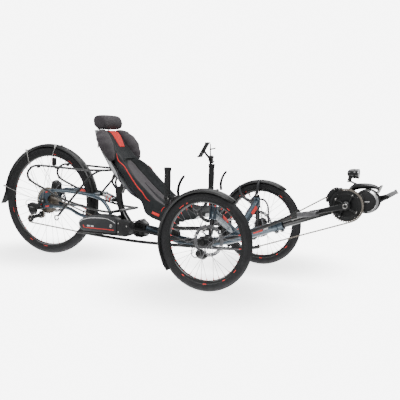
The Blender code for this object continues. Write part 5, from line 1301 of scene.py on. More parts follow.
# ------------------------------------------------------------------ rear end
def swing_arm():
    tubes, ends, joints = [], [], []
    for side in (1, -1):
        y = side * 0.0695
        upper = [(-1.145, 0.3955), (-1.06, 0.3965), (-0.96, 0.392), (-0.862, 0.38), (-0.8, 0.356), (-0.757, 0.306),
                 (-0.735, 0.25)]
        lower = [(-1.15, 0.2975), (-1.046, 0.298), (-0.955, 0.264), (-0.84, 0.242), (-0.735, 0.25)]
        tubes.append(tube([at(x, y, z) for x, z in upper], lambda t: 0.0092 + 0.0018 * math.sin(math.pi * t), 22,
                          7))
        tubes.append(tube([at(x, y, z) for x, z in lower], lambda t: 0.0085 + 0.002 * math.sin(math.pi * t), 22, 7))
        joints.append(rod(at(-0.735, side * 0.059, 0.25), at(-0.735, side * 0.08, 0.25), 0.0178, 36,
                          round_off=0.0015))
        low_y, high_y = sorted((side * 0.0665, side * 0.0725))
        ends.append(plate([(-1.262, 0.326), (-1.255, 0.35), (-1.238, 0.374), (-1.19, 0.398), (-1.15, 0.405),
                           (-1.138, 0.388), (-1.19, 0.356), (-1.196, 0.337), (-1.188, 0.318), (-1.14, 0.304),
                           (-1.142, 0.29), (-1.214, 0.284), (-1.238, 0.272), (-1.25, 0.292)], low_y, high_y))
    tubes.append(rod(at(-0.862, -0.069, 0.39), at(-0.862, 0.069, 0.39), 0.0088, 22))
    make("swing_arm_stays", tubes, PAINT, "rear_arm", "frame_paint", ["swing_arm"], angle=55)
    make("swing_arm_dropouts", ends, PAINT, "rear_arm", "frame_paint", bevel=0.0015)
    make("swing_arm_pivots", joints, ANODISED, "rear_arm", "black_alloy")
    axle = [rod(at(-0.735, -0.0835, 0.25), at(-0.735, 0.0835, 0.25), 0.0085, 24, round_off=0.001),
            rod(REAR - Y * 0.079, REAR + Y * 0.079, 0.0062, 20, round_off=0.001)]
    axle += [bolt(at(-0.735, side * 0.08, 0.25), Y * side, 0.0125, 0.0045) for side in (1, -1)]
    axle += [rod(REAR + Y * side * 0.0725, REAR + Y * side * 0.077, 0.011, 6) for side in (1, -1)]
    make("swing_arm_axles", axle, STEEL, "rear_arm", "steel")
    red, white = [], []
    for a, b in (((-1.06, 0.3962), (-0.945, 0.3905)), ((-1.03, 0.2935), (-0.945, 0.261))):
        start, end = at(a[0], 0.0695, a[1]), at(b[0], 0.0695, b[1])
        for first, last in ((50, 130), (-130, -50)):
            red.append(patch(start, start.lerp(end, 0.6), 0.011, first, last, 0.0006))
            white.append(patch(start.lerp(end, 0.64), start.lerp(end, 0.76), 0.011, first, last, 0.0006))
            red.append(patch(start.lerp(end, 0.8), end, 0.011, first, last, 0.0006))
    make("swing_arm_stickers_red", red, RED, "rear_arm")
    make("swing_arm_stickers_white", white, WHITE, "rear_arm")
    accents = [plate([(-1.248, 0.3), (-1.24, 0.309), (-1.232, 0.306), (-1.24, 0.294)], -0.0734, -0.073),
               plate([(-1.205, 0.291), (-1.18, 0.297), (-1.18, 0.303), (-1.208, 0.299)], -0.0734, -0.073),
               plate([(-1.205, 0.376), (-1.18, 0.388), (-1.18, 0.394), (-1.208, 0.384)], -0.0734, -0.073)]
    make("dropout_accents", accents, RED, "rear_arm")
    caliper = [(-1.262, 0.39), (-1.25, 0.438), (-1.222, 0.448), (-1.19, 0.43), (-1.188, 0.4), (-1.2, 0.372),
               (-1.225, 0.368), (-1.236, 0.396)]
    halves = [plate(caliper, 0.0448, 0.05), plate(caliper, 0.0585, 0.066)]
    bridge = [(-1.256, 0.414), (-1.248, 0.438), (-1.222, 0.448), (-1.192, 0.431), (-1.196, 0.416), (-1.226, 0.42)]
    halves.append(plate(bridge, 0.045, 0.065))
    make("rear_caliper", halves, GLOSS_BLACK, "rear_arm", "black_alloy", bevel=0.002)
    make("rear_caliper_bolts", [bolt(at(x, 0.066, z), Y, 0.0045, 0.0035) for x,
                                z in ((-1.24, 0.42), (-1.205, 0.415), (-1.222, 0.435))], STEEL, "rear_arm")
    hose = [at(-1.2, 0.06, 0.42), at(-1.16, 0.066, 0.416), at(-1.06, 0.072, 0.4085), at(-0.96, 0.074, 0.4045),
            at(-0.88, 0.076, 0.392), at(-0.815, 0.08, 0.37), at(-0.77, 0.08, 0.32), at(-0.748, 0.078, 0.27)]
    make("rear_brake_hose", [tube(hose, 0.0025, 10, 7)], PLASTIC, "rear_arm", angle=60)


def cassette():
    sizes = [(0.083, 36, -0.024), (0.074, 32, -0.0277), (0.065, 28, -0.0314), (0.056, 24, -0.0351),
             (0.048, 21, -0.0388), (0.0415, 18, -0.0425), (0.039, 17, -0.0491), (0.032, 14, -0.0545),
             (0.027, 12, -0.0582)]
    flat = Vector((REAR.x, 0, REAR.z))
    rings = [toothed(flat, teeth, radius - 0.0048, radius, radius - 0.0165, y - 0.002, y) for radius, teeth,
             y in sizes]
    make("cassette_sprockets", rings, CHAIN, "sprockets", "steel", ["cassette"])
    core = [lathe([(0.0185, -0.024), (0.023, -0.024), (0.023, -0.06), (0.0185, -0.06)], flat, Y, 36, ring=True)]
    for k in range(6):
        for radius, teeth, y in sizes[:5]:
            angle = 60 * k + radius * 300
            core.append(rod(polar(flat, 0.02, angle, y - 0.001), polar(flat, radius - 0.014, angle + 14, y - 0.001),
                            0.0022, 8))
    make("cassette_carrier", core, ANODISED, "sprockets")
    make("cassette_lockring", [lathe([(0.0125, -0.06), (0.0185, -0.06), (0.0185, -0.0622), (0.0165, -0.0632),
                                      (0.0125, -0.0632)], flat, Y, 36, ring=True)], STEEL, "sprockets")


def rear_shifter():
    knee = at(-1.285, 0, 0.256)
    body = [rod(at(-1.238, -0.0735, 0.289), at(-1.238, -0.0915, 0.289), 0.0135, 28, round_off=0.002),
            rod(Vector((knee.x - 0.01, -0.0915, knee.z + 0.004)), Vector((knee.x - 0.01, -0.06, knee.z + 0.004)),
                0.0205, 36, round_off=0.003)]
    make("mech_knuckles", body, GLOSS_BLACK, "rear_arm", "black_alloy", ["rear_derailleur"])
    slabs = [plate([(-1.226, 0.276), (-1.23, 0.304), (-1.262, 0.312), (-1.3, 0.316), (-1.33, 0.304),
                    (-1.336, 0.286), (-1.322, 0.268), (-1.27, 0.27)], -0.09, -0.075),
             plate([(-1.262, 0.258), (-1.27, 0.286), (-1.302, 0.292), (-1.322, 0.28), (-1.318, 0.258),
                    (-1.298, 0.244)], -0.096, -0.08)]
    make("mech_body", slabs, GLOSS_BLACK, "rear_arm", "black_alloy", bevel=0.0045)
    screws = [bolt(at(-1.238, -0.0915, 0.289), -Y, 0.0085, 0.0035),
              bolt(at(-1.31, -0.09, 0.293), -Y, 0.006, 0.0035),
              bolt(Vector((knee.x - 0.01, -0.096, knee.z + 0.01)), -Y, 0.0075, 0.003)]
    make("mech_screws", screws, ANODISED, "rear_arm")
    cable = [at(-1.33, -0.083, 0.295), at(-1.346, -0.083, 0.301), at(-1.338, -0.082, 0.323),
             at(-1.29, -0.08, 0.326), at(-1.18, -0.08, 0.313), at(-1.06, -0.081, 0.306), at(-0.96, -0.08, 0.278)]
    make("mech_cable", [tube(cable, 0.0024, 10, 7)], PLASTIC, "rear_arm", angle=60)
    guide, tension = (-1.256, 0.243), (-1.331, 0.209)
    plates = []
    for low, high in ((-0.059, -0.057), (-0.043, -0.041)):
        outline = []
        for (x, z), first in ((guide, -22), (tension, 158)):
            for k in range(9):
                angle = math.radians(first - 68 + 17 * k)
                outline.append((x + 0.0155 * math.cos(angle), z + 0.0155 * math.sin(angle)))
        plates.append(plate(outline, low, high))
    make("mech_cage", plates, SATIN_BLACK, "tension_cage", "black_alloy", ["derailleur_cage"], bevel=0.0005)
    wheels = [toothed(at(x, CHAIN_Y, z), 11, 0.0178, 0.0222, 0.006, -0.0012, 0.0012) for x, z in (guide, tension)]
    make("mech_pulleys", wheels, PLASTIC, "tension_cage", "black_plastic")
    make("mech_pulley_bolts", [rod(at(x, -0.0605, z), at(x, -0.0405, z), 0.0046, 14, round_off=0.0006) for x,
                               z in (guide, tension)], STEEL, "tension_cage")


def damper():
    front, rear = at(-0.768, 0, 0.356), at(-0.862, 0, 0.39)
    along = (rear - front).normalized()
    can = [(0.008, 0.008), (0.015, 0.009), (0.0168, 0.012), (0.0168, 0.018), (0.0158, 0.019), (0.0158, 0.054),
           (0.0168, 0.055), (0.0168, 0.061), (0.015, 0.0625), (0.0108, 0.0625)]
    make("damper_can", [lathe(can, front, along, 40)], SILVER, "damper_body", "alloy", ["shock_body"])
    eyes = [ring(front, Y, 0.009, 0.0048, s * 0.0072 - 0.0016, s * 0.0072 + 0.0016, 28) for s in (1, -1)]
    eyes += [rod(front + Y * s * 0.0072 + along * 0.006, front + Y * s * 0.0072 + along * 0.016, 0.003, 10)
             for s in (1, -1)]
    make("damper_eye", eyes, ANODISED, "damper_body")
    bands = [ring(front + along * d, along, 0.0174, 0.016, -0.001, 0.001, 36) for d in (0.022, 0.026, 0.048)]
    make("damper_bands", bands, RED, "damper_body")
    dial = [rod(front + along * 0.015 + Vector((0.004, 0, 0.014)),
                front + along * 0.015 + Vector((0.006, 0, 0.0235)), 0.005, 18, round_off=0.001)]
    make("damper_dial", dial, ANODISED, "damper_body")
    shaft = [rod(front + along * 0.052, rear - along * 0.011, 0.0092, 28)]
    make("damper_rod", shaft, STEEL, "damper_shaft", "alloy", ["shock_shaft"])
    make("damper_rear_eye", [ring(rear, Y, 0.015, 0.0104, -0.01, 0.01, 32),
                             rod(rear - along * 0.018, rear - along * 0.0125, 0.0125, 24, round_off=0.001)],
         ANODISED, "damper_shaft", bevel=0.0006)


def battery():
    low, high = -0.154, -0.086
    outline = [(-0.915, 0.236), (-0.912, 0.216), (-0.901, 0.196), (-0.88, 0.1856), (-0.6575, 0.1856),
               (-0.6575, 0.266), (-0.69, 0.284), (-0.72, 0.2895), (-0.77, 0.2885), (-0.82, 0.283), (-0.865, 0.27),
               (-0.9, 0.253)]
    make("battery_case", [plate(outline, low, high)], GREY_PLASTIC, "battery_pack", "grey_plastic", ["battery"],
         bevel=0.011)
    edge = [(-0.908, 0.23), (-0.88, 0.252), (-0.82, 0.266), (-0.74, 0.27), (-0.7, 0.264), (-0.662, 0.248)]
    make("battery_trim_near", [tube([at(x, low - 0.0002, z) for x, z in edge], 0.0021, 10, 8)], SILVER,
         "battery_pack", angle=60)
    stripe = [(-0.862, 0.206), (-0.862, 0.21), (-0.672, 0.21), (-0.672, 0.206)]
    tick = [(-0.872, 0.206), (-0.88, 0.222), (-0.874, 0.222), (-0.866, 0.206)]
    bars = [plate(outline, low - 0.0004, low + 0.0004) for outline in (stripe, tick)]
    make("battery_stripe_near", bars, RED, "battery_pack")
    dots = [plate([(-0.85 + k, 0.215), (-0.85 + k, 0.223), (-0.832 + k, 0.223), (-0.832 + k, 0.215)], low - 0.0004,
                  low + 0.0004) for k in (0, 0.026)]
    make("battery_marks_near", dots, WHITE, "battery_pack")
    make("battery_lock", [lathe([(0.0095, 0), (0.0095, 0.002), (0.008, 0.003), (0.003, 0.003), (0.0028, 0.001)],
                                at(-0.69, low, 0.23), -Y, 28)], STEEL, "battery_pack")
    grip = [tube([at(-0.905, y, 0.24) for y in (-0.145, -0.12, -0.095)], 0.005, 12, 4)]
    make("battery_pull", grip, RUBBER, "battery_pack", angle=60)
    holder = [plate([(-0.6555, 0.179), (-0.6555, 0.265), (-0.64, 0.2665), (-0.58, 0.256), (-0.574, 0.23),
                     (-0.578, 0.19), (-0.59, 0.179)], -0.15, -0.087),
              plate([(-0.89, 0.176), (-0.89, 0.1845), (-0.6, 0.1845), (-0.6, 0.176)], -0.148, -0.092),
              plate([(-0.74, 0.1762), (-0.74, 0.2), (-0.6, 0.21), (-0.6, 0.1762)], -0.0855, -0.0745)]
    make("battery_holder", holder, PLASTIC, "frame", "black_plastic", ["battery_dock"], bevel=0.003)
    make("battery_holder_screws", [bolt(at(x, -0.15, z), -Y, 0.0042, 0.003) for x,
                                   z in ((-0.645, 0.2), (-0.645, 0.248), (-0.592, 0.236))], STEEL, "frame")
    lead = [at(-0.59, -0.118, 0.254), at(-0.56, -0.11, 0.264), at(-0.53, -0.075, 0.25), at(-0.5, -0.035, 0.226),
            at(-0.45, -0.024, 0.21)]
    make("battery_lead", [tube(lead, 0.0034, 12, 7)], PLASTIC, "frame", angle=60)


# ------------------------------------------------------------------ seat
CLOTH_FRAMES = 20
SEAT_LINE = [(-0.842, 0.748), (-0.812, 0.69), (-0.768, 0.622), (-0.7, 0.535), (-0.612, 0.446), (-0.528, 0.372),
             (-0.452, 0.316), (-0.37, 0.286), (-0.27, 0.287), (-0.175, 0.308), (-0.098, 0.333)]


def seat_frame(s):
    """The shell's rear line at station s, 0 at the shoulders: the place, and the way its front faces."""
    last = len(SEAT_LINE) - 1
    i = max(0, min(int(s), last - 1))
    t = s - i
    ends = [SEAT_LINE[max(0, min(last, i + k))] for k in (-1, 0, 1, 2)]
    place, slope = [], []
    for axis in (0, 1):
        a, b, c, d = (p[axis] for p in ends)
        place.append(b + 0.5 * t * (c - a + t * (2 * a - 5 * b + 4 * c - d + t * (3 * (b - c) + d - a))))
        slope.append(0.5 * (c - a) + t * (2 * a - 5 * b + 4 * c - d) + 1.5 * t * t * (3 * (b - c) + d - a))
    along = Vector((slope[0], 0, slope[1])).normalized()
    return at(place[0], 0, place[1]), Vector((-along.z, 0, along.x))


def seat_point(s, y, n):
    place, out = seat_frame(s)
    return place + out * n + Y * y


def mix(table, s):
    """A value read smoothly from (station, value) pairs."""
    for (s0, v0), (s1, v1) in zip(table, table[1:]):
        if s <= s1:
            return v0 + (v1 - v0) * ease((s - s0) / (s1 - s0))
    return table[-1][1]


def ease(t):
    t = max(0.0, min(1.0, t))
    return t * t * (3 - 2 * t)


def soften(item, voxel, cap, pinned):
    """Fill a closed fabric form with air: remesh it, blow it up with cloth, and hold back what moves too far."""
    grid = item.modifiers.new("grid", "REMESH")
    grid.mode = "VOXEL"
    grid.voxel_size = voxel
    bake(item)
    rest = [v.co.copy() for v in item.data.vertices]
    held = item.vertex_groups.new(name="held")
    held.add([v.index for v in item.data.vertices if pinned(v.co)], 1.0, "REPLACE")
    cloth_mod = item.modifiers.new("air", "CLOTH")
    fabric = cloth_mod.settings
    fabric.quality = 5
    fabric.mass = 0.3
    fabric.tension_stiffness = fabric.compression_stiffness = 12
    fabric.shear_stiffness = 6
    fabric.bending_stiffness = 1.2
    fabric.use_pressure = True
    fabric.uniform_pressure_force = 4.0
    fabric.vertex_group_mass = "held"
    fabric.effector_weights.gravity = 0
    cloth_mod.point_cache.frame_start = 1
    cloth_mod.point_cache.frame_end = CLOTH_FRAMES
    scene = bpy.context.scene
    for moment in range(1, CLOTH_FRAMES + 1):
        scene.frame_set(moment)
    bake(item)
    for vertex, old in zip(item.data.vertices, rest):
        shift = vertex.co - old
        if shift.length > cap:
            vertex.co = old + shift * (cap / shift.length)
    scene.frame_set(1)


def cushion(name, form, finish, body, node, voxel, cap, pinned=lambda place: False):
    """A padded piece: a closed form, filled with air, relaxed and subdivided once."""
    item = build([form])
    soften(item, voxel, cap, pinned)
    relax = item.modifiers.new("relax", "SMOOTH")
    relax.factor, relax.iterations = 0.5, 2
    smooth = item.modifiers.new("smooth", "SUBSURF")
    smooth.levels = smooth.render_levels = 1
    bake(item)
    dress(item, name, finish, body, [node[0]], angle=180)
    return item


def station_of(place):
    """The (station, y, height) of a place over the seat line."""
    best, low, high = None, 0.0, 9.9
    for step in (0.3, 0.05, 0.01):
        s = low
        while s <= high:
            base, out = seat_frame(s)
            gap = place - base
            off = abs(gap.x * out.z - gap.z * out.x)
            if best is None or off < best[0]:
                best = (off, s, gap.x * out.x + gap.z * out.z)
            s += step
        low, high = best[1] - step, best[1] + step
        best = (best[0] + 1e-9, best[1], best[2])
    return best[1], place.y, best[2]


class Skin:
    """Finds the surface of a cushion over a station and y, so that panels and piping lie on it."""

    def __init__(self, item):
        self.tree = BVHTree.FromObject(item, bpy.context.evaluated_depsgraph_get())

    def on(self, s, y, lift):
        base, out = seat_frame(s)
        place = self.tree.ray_cast(base + out * 0.25 + Y * y, -out)[0]
        return (base + out * 0.05 + Y * y if place is None else place) + out * lift

    def panel(self, name, finish, left, right, steps=26, across=12, lift=0.0012):
        """A sewn-on panel between two edges, each a list of (s, y)."""
        grid = []
        for i in range(steps + 1):
            t = i / steps
            a, b = along_edge(left, t), along_edge(right, t)
            row = []
            for j in range(across + 1):
                u = j / across
                tuck = 0.0014 * (abs(2 * u - 1) ** 6)
                row.append(self.on(a[0] + (b[0] - a[0]) * u, a[1] + (b[1] - a[1]) * u, lift - tuck))
            grid.append(row)
        make(name, [sheet_of(grid)], finish, "frame", angle=180, thicken=0.0016)

    def piping(self, name, finish, route, radius):
        """A cord along a list of (s, y), pointed at its ends."""
        points = smooth_path([Vector((s, y, 0)) for s, y in route], 10)
        path = [self.on(p.x, p.y, 0.001) for p in points]
        cord = sweep(path, lambda t: circle(radius * (0.25 + 0.75 * min(1, 7 * t, 7 * (1 - t))), 8))
        make(name, [cord], finish, "frame", angle=180)


def along_edge(edge, t):
    """A place at share t along a list of (s, y)."""
    spot = t * (len(edge) - 1)
    i = min(int(spot), len(edge) - 2)
    a, b = edge[i], edge[i + 1]
    t = spot - i
    return a[0] + (b[0] - a[0]) * t, a[1] + (b[1] - a[1]) * t


HALF = [(0, 0.072), (1.2, 0.09), (2.6, 0.114), (3.4, 0.16), (4.5, 0.167), (6.3, 0.178), (7.5, 0.18), (9.7, 0.15)]
LIFT = [(0, 0.013), (2.7, 0.022), (3.4, 0.042), (5.0, 0.034), (6.0, -0.0035), (7.3, -0.0055), (9.7, 0.0005)]
DEPTH = [(0, 0.048), (1, 0.056), (2.5, 0.052), (5, 0.05), (6.5, 0.06), (8.5, 0.05), (9.7, 0.029)]
BOLSTER = [(0, 0.0), (2.2, 0.006), (3.2, 0.03), (5.0, 0.034), (6.6, 0.024), (9.7, 0.01)]
CHANNEL = [(2.4, 0.0), (3.1, 0.01), (5.0, 0.01), (7.0, 0.006), (9.0, 0.0)]


def pad_top(s, u):
    """The pad's height over station s at share u of its half width."""
    a = abs(u)
    height = mix(DEPTH, s) - 0.003
    ridge = math.exp(-((a - 0.76) / 0.19) ** 2)
    height += mix(BOLSTER, s) * ridge - mix(CHANNEL, s) * (1 - ease((a - 0.2) / 0.35))
    edge = mix(LIFT, s) + 0.03
    return height + (edge - height) * ease((a - 0.8) / 0.2) if a > 0.8 else height


def main_pad():
    sections = []
    for i in range(67):
        s = 9.8 * i / 66
        half, raised = mix(HALF, s), mix(LIFT, s)
        tip = min(1.0, 0.55 + 0.45 * ease(i / 3), 0.55 + 0.45 * ease((66 - i) / 3))
        under = max(raised, 0.0125)
        inner = 0.144 if raised < 0.01 else min(half * 0.8, 0.128)
        floor = [(-half, raised), (-inner, under + 0.0135), (-inner * 0.5, 0.013), (0, 0.01), (inner * 0.5, 0.013),
                 (inner, under + 0.0135), (half, raised)]
        side = [(half * 1.012, raised + 0.01), (half * 1.01, raised + 0.022)]
        top = [(half * u, 0.016 + (pad_top(s, u) - 0.016) * tip)
               for u in (0.97, 0.9, 0.8, 0.7, 0.6, 0.5, 0.4, 0.3, 0.2, 0.1, 0.0)]
        loop = floor + side + top + [(-y, n) for y, n in top[-2::-1]] + [(-y, n) for y, n in side[::-1]]
        sections.append([seat_point(s, y, n) for y, n in loop])
    return loft(sections)


def wing_form(side):
    sections = []
    stations = [(0.06, 0.066, 0.108, 0.046), (0.16, 0.062, 0.13, 0.056), (0.5, 0.066, 0.16, 0.072),
                (1.1, 0.074, 0.188, 0.083), (1.7, 0.084, 0.196, 0.085), (2.2, 0.098, 0.184, 0.075),
                (2.5, 0.114, 0.17, 0.062), (2.62, 0.13, 0.158, 0.05)]
    for i in range(34):
        s = 0.06 + 2.56 * i / 33
        inner, outer, rise = (mix([(row[0], row[k]) for row in stations], s) for k in (1, 2, 3))
        under = 0.0275
        loop = []
        for k in range(22):
            angle = 2 * math.pi * k / 22
            u = math.copysign(abs(math.cos(angle)) ** 0.75, math.cos(angle))
            v = math.copysign(abs(math.sin(angle)) ** 0.8, math.sin(angle))
            tall = (rise - under) / 2
            lean = 0.1 * tall * u if v > 0 else 0
            loop.append(((inner + outer) / 2 + (outer - inner) / 2 * u, under + tall + (tall + lean) * v))
        sections.append([seat_point(s, side * y, n) for y, n in loop])
    return loft(sections)


def head_form():
    outline = smooth_path([at(x, 0, z) for x, z in ((-0.852, 0.785), (-0.859, 0.817), (-0.849, 0.84),
                                                    (-0.822, 0.846), (-0.796, 0.8405), (-0.778, 0.808),
                                                    (-0.784, 0.777), (-0.806, 0.769), (-0.834, 0.773),
                                                    (-0.852, 0.785))], 4)[:-1]
    sections = []
    for i in range(25):
        y = -0.0985 + 0.197 * i / 24
        share = (1 - abs(y / 0.101) ** 6) ** 0.45
        dish = 0.006 * (1 - (y / 0.0925) ** 2)
        row = []
        for spot in outline:
            place = at(-0.82, y, 0.809) + Vector((spot.x - at(-0.82, 0, 0).x, 0,
                                                  spot.z - 0.809)) * (0.76 + 0.3 * share)
            if place.x > at(-0.8, 0, 0).x:
                place.x -= dish
            row.append(place)
        sections.append(row)
    return loft(sections)


def seat_shell():
    width = [(0, 0.118), (1, 0.136), (2.6, 0.142), (4.2, 0.14), (5, 0.13), (7, 0.14), (9.8, 0.115)]
    rise = [(0, 0.014), (2.4, 0.008), (3.2, 0.0), (4.2, 0.0), (5.2, 0.016), (9.8, 0.018)]
    rows, spine = [], []
    for i in range(61):
        s = 9.8 * i / 60
        half, lip = mix(width, s), mix(rise, s)
        rows.append([seat_point(s, half * k / 10, 0.0028 + lip * abs(k / 10) ** 3.2) for k in range(-10, 11)])
        spine.append([seat_point(s, half * u, lip * abs(u) ** 3.2 - 0.0001)
                      for u in (-0.34, -0.2, -0.1, 0, 0.1, 0.2, 0.34)])
    make("seat_shell_skin", [sheet_of(rows)], SHELL, "frame", "seat_shell", ["seat_shell"], thicken=0.004, angle=60)
    make("seat_shell_spine", [sheet_of(spine)], SATIN_BLACK, "frame", thicken=0.0016, angle=60)
    walls, trims = [], []
    for side in (1, -1):
        wall = []
        for i in range(34):
            s = 3.9 * i / 33
            half, tall = mix(width, s) - 0.002, 0.03 * ease(s / 0.25 + 0.35) * ease((3.95 - s) / 0.8)
            wall.append([seat_point(s, side * (half + 0.016 * u), 0.0028 + mix(rise, s) + tall * u)
                         for u in (0, 0.25, 0.5, 0.75, 1)])
        walls.append(sheet_of(wall))
        trims.append(tube([row[-1] for row in wall[::3]], 0.0026, 10, 3))
    make("seat_shell_walls", walls, SHELL, "frame", "seat_shell", thicken=0.0024, angle=60)
    make("seat_shell_trims", trims, SATIN_BLACK, "frame", angle=70)
    edges = [tube([row[0] for row in rows[::3]], 0.0024, 12, 3),
             tube([row[-1] for row in rows[::3]], 0.0024, 12, 3), tube(rows[0][::2], 0.0032, 12, 3),
             tube(rows[-1][::2], 0.0032, 12, 3)]
    make("seat_shell_edging", edges, SATIN_BLACK, "frame", "seat_shell", angle=70)
    foot, along = at(-0.856, 0, 0.66), Vector((0.1, 0, 1)).normalized()
    sleeves, knobs = [], []
    for side in (1, -1):
        sleeve = foot + along * 0.05 + Y * side * 0.045
        sleeves.append(ring(sleeve, along, 0.0092, 0.0046, -0.013, 0.013, 28))
        sleeves.append(block(sleeve + Vector((0.0065, -0.007, -0.007)), sleeve + Vector((0.03, 0.007, 0.008))))
        knobs.append(lathe([(0.0035, 0), (0.008, 0.002), (0.0085, 0.008), (0.007, 0.01)],
                           sleeve + Y * side * 0.0088, Y * side, 20))
    make("headrest_sleeves", sleeves, SATIN_BLACK, "frame", "black_plastic", bevel=0.001)
    make("headrest_sleeve_knobs", knobs, PLASTIC, "frame")
    posts = [rod(foot + Y * side * 0.045, foot + Y * side * 0.045 + along * 0.1175, 0.0041, 18, round_off=0.001)
             for side in (1, -1)]
    posts.append(rod(foot + along * 0.112 - Y * 0.052, foot + along * 0.112 + Y * 0.052, 0.0045, 18))
    make("headrest_posts_bar", posts, STEEL, "headrest_posts", "steel", ["headrest_frame"])
    knob = foot + along * 0.112
    caps = [lathe([(0.0045, 0.0), (0.0075, 0.002), (0.0078, 0.008), (0.006, 0.0105), (0.003, 0.0105)],
                  knob + Y * side * 0.052, Y * side, 24) for side in (1, -1)]
    make("headrest_bar_caps", caps, SILVER, "headrest_posts")


def seat():
    seat_shell()

    def low(place):
        return station_of(place)[2] < 0.02

    pad = cushion("seat_cushion", main_pad(), FABRIC, "frame", ("seat_pad", "seat_fabric"), 0.0065, 0.005, low)
    for tag, side in SIDES:
        cushion("wing_cushion_" + tag, wing_form(side), GREY_FABRIC, "frame", ("wing_pad_" + tag, "grey_fabric"),
                0.0045, 0.006)
    cushion("headrest_cushion", head_form(), GREY_FABRIC, "headrest", ("headrest_pad", "seat_fabric"), 0.005, 0.005)
    skin = Skin(pad)
    skin.panel("seat_badge_panel", RED_FABRIC, [(0.16, -0.028), (0.8, -0.02), (1.8, -0.004)],
               [(0.16, 0.06), (0.8, 0.058), (1.8, 0.046)])
    grey_left = [(2.72, 0.0), (3.0, -0.026), (3.9, -0.046), (5.3, -0.064), (6.8, -0.072), (8.2, -0.06)]
    grey_right = [(2.72, 0.034), (3.0, 0.052), (3.9, 0.064), (5.3, 0.072), (6.8, 0.076), (8.2, 0.062)]
    skin.panel("seat_centre_panel", MESH_FABRIC, grey_left, grey_right, steps=44, across=18)
    skin.panel("seat_centre_wedge", FABRIC, [(4.1, 0.012), (5.0, 0.004), (6.4, -0.018), (8.3, -0.04)],
               [(4.1, 0.014), (5.0, 0.03), (6.4, 0.044), (8.3, 0.05)], lift=0.003)
    skin.piping("seat_hem", FABRIC, [(2.74, -0.05), (2.6, -0.02), (2.58, 0.02), (2.64, 0.07)], 0.006)
    routes = {"left": [(3.0, 0.142), (3.6, 0.158), (4.3, 0.164), (5.0, 0.167), (5.6, 0.168)],
              "right": [(2.3, -0.092), (3.1, -0.128), (4.0, -0.15), (4.9, -0.156), (5.6, -0.154)]}
    for tag, side in SIDES:
        skin.piping("seat_piping_" + tag, RED_FABRIC, routes[tag], 0.0028)
        skin.piping("seat_seam_" + tag, FABRIC, [(p[0], side * (abs(p[1]) + 0.004)) for p in grey_right], 0.0016)
        skin.piping("seat_hip_stitch_" + tag, RED_FABRIC,
                    [(7.25, side * 0.15), (7.0, side * 0.143), (6.85, side * 0.15), (6.88, side * 0.162)], 0.0018)
        skin.panel("seat_hip_bar_" + tag, RED_FABRIC, [(6.25, side * 0.17), (6.85, side * 0.17)],
                   [(6.28, side * 0.1765), (6.88, side * 0.1765)], steps=8, across=4)


# ------------------------------------------------------------------ studio
FLOOR_WIDTH = 14.0
FLOOR_GLOW = 2.2
ROOM_LIGHT = 0.42
BACKDROP = 9.0
LAMPS = (("key", (1.6, -3.2, 3.4), 2.6, 130), ("fill", (-3.2, -2.4, 2.4), 2.4, 55),
         ("top", (0, 0.2, 4.2), 3.2, 120), ("rim", (0.5, 3.4, 2.6), 2.6, 60))


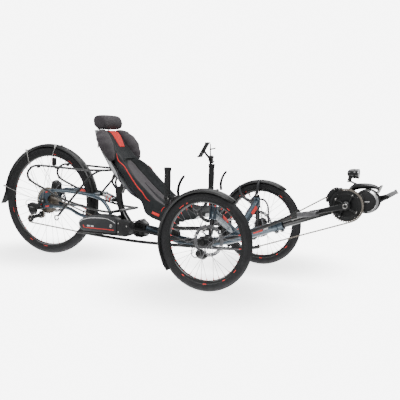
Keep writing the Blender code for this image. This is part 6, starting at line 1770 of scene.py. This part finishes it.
def studio():
    """A white room: a floor that fades out away from the wheels, a bright backdrop, and four soft lamps. Round each
    wheel the floor shows greyer than the backdrop, a painted shadow that adds to the real shadow cast there.
    """
    steps = [FLOOR_WIDTH * (i / 40 - 0.5) for i in range(41)]
    rows = [[Vector((x, y, -0.0005)) for y in steps] for x in steps]
    floor = build([sheet_of(rows)])
    floor.name = "floor"
    n = Nodes("pale_floor")
    n.colour(n.blend(n.remap(n.noise(1.5), 0, 1), (0.86, 0.86, 0.86), (0.9, 0.9, 0.9)))
    n.rough(n.remap(n.noise(3.0), 0.85, 0.95))
    n.shader.inputs["Emission Color"].default_value = (1, 1, 1, 1)
    n.shader.inputs["Emission Strength"].default_value = FLOOR_GLOW
    # Round each wheel the floor is opaque and greyer than the backdrop: a painted soft shadow patch, on which the
    # real shadows also fall.
    painted_shadow_fade = None
    for tag in ("left", "right", "rear"):
        spot = middle("tyre_" + tag)
        gap = n.add("ShaderNodeVectorMath", operation="DISTANCE")
        n.link(n.place, gap.inputs[0])
        gap.inputs[1].default_value = (spot.x, spot.y, 0)
        near = n.remap(gap.outputs["Value"], 0.92, 0.0, 0.1, 0.75, "SMOOTHERSTEP")
        painted_shadow_fade = near if painted_shadow_fade is None else n.math("MAXIMUM", painted_shadow_fade, near)
    mixed = n.add("ShaderNodeMixShader")
    n.link(painted_shadow_fade, mixed.inputs["Fac"])
    n.link(n.add("ShaderNodeBsdfTransparent").outputs[0], mixed.inputs[1])
    n.link(n.shader.outputs[0], mixed.inputs[2])
    n.link(mixed.outputs[0], n.tree.nodes["Material Output"].inputs["Surface"])
    floor.data.materials.append(n.material)
    world = bpy.data.worlds.new("studio")
    bpy.context.scene.world = world
    world.use_nodes = True
    tree = world.node_tree
    soft = tree.nodes["Background"]
    soft.inputs["Color"].default_value = (1, 1, 1, 1)
    soft.inputs["Strength"].default_value = ROOM_LIGHT
    paper = tree.nodes.new("ShaderNodeBackground")
    paper.inputs["Strength"].default_value = BACKDROP
    either = tree.nodes.new("ShaderNodeMixShader")
    tree.links.new(tree.nodes.new("ShaderNodeLightPath").outputs["Is Camera Ray"], either.inputs["Fac"])
    tree.links.new(soft.outputs[0], either.inputs[1])
    tree.links.new(paper.outputs[0], either.inputs[2])
    tree.links.new(either.outputs[0], tree.nodes["World Output"].inputs["Surface"])
    for name, place, size, power in LAMPS:
        lamp = bpy.data.lights.new(name, "AREA")
        lamp.size = size
        lamp.energy = power
        item = bpy.data.objects.new(name, lamp)
        item.location = place
        item.rotation_euler = (Vector((0, 0, 0.35)) - Vector(place)).to_track_quat("-Z", "Y").to_euler()
        bpy.context.scene.collection.objects.link(item)


def camera():
    azimuth, elevation, roll = (math.radians(a) for a in (24.8, 5.92, 1.7))
    look = Vector((-math.sin(azimuth) * math.cos(elevation), math.cos(azimuth) * math.cos(elevation),
                   -math.sin(elevation)))
    right = Vector((math.cos(azimuth), math.sin(azimuth), 0))
    up = right.cross(look)
    turned_right = right * math.cos(roll) + up * math.sin(roll)
    turned_up = up * math.cos(roll) - right * math.sin(roll)
    distance = 3.625
    place = at(-0.218, 0, 0.3975) - look * distance
    matrix = Matrix((turned_right, turned_up, -look)).transposed().to_4x4()
    matrix.translation = place
    lens = bpy.data.cameras.new("camera")
    lens.lens = 59.57
    lens.sensor_width = 36
    item = bpy.data.objects.new("camera", lens)
    item.matrix_world = matrix
    bpy.context.scene.collection.objects.link(item)
    bpy.context.scene.camera = item


for stage in (camera, studio, all_wheels, mudguards, front_frame, back_frame, luggage_rack, steering, calipers,
              boom, motor, accessories, cranks, front_shifter, chain_line, swing_arm, cassette, rear_shifter,
              damper, battery, seat):
    stage()
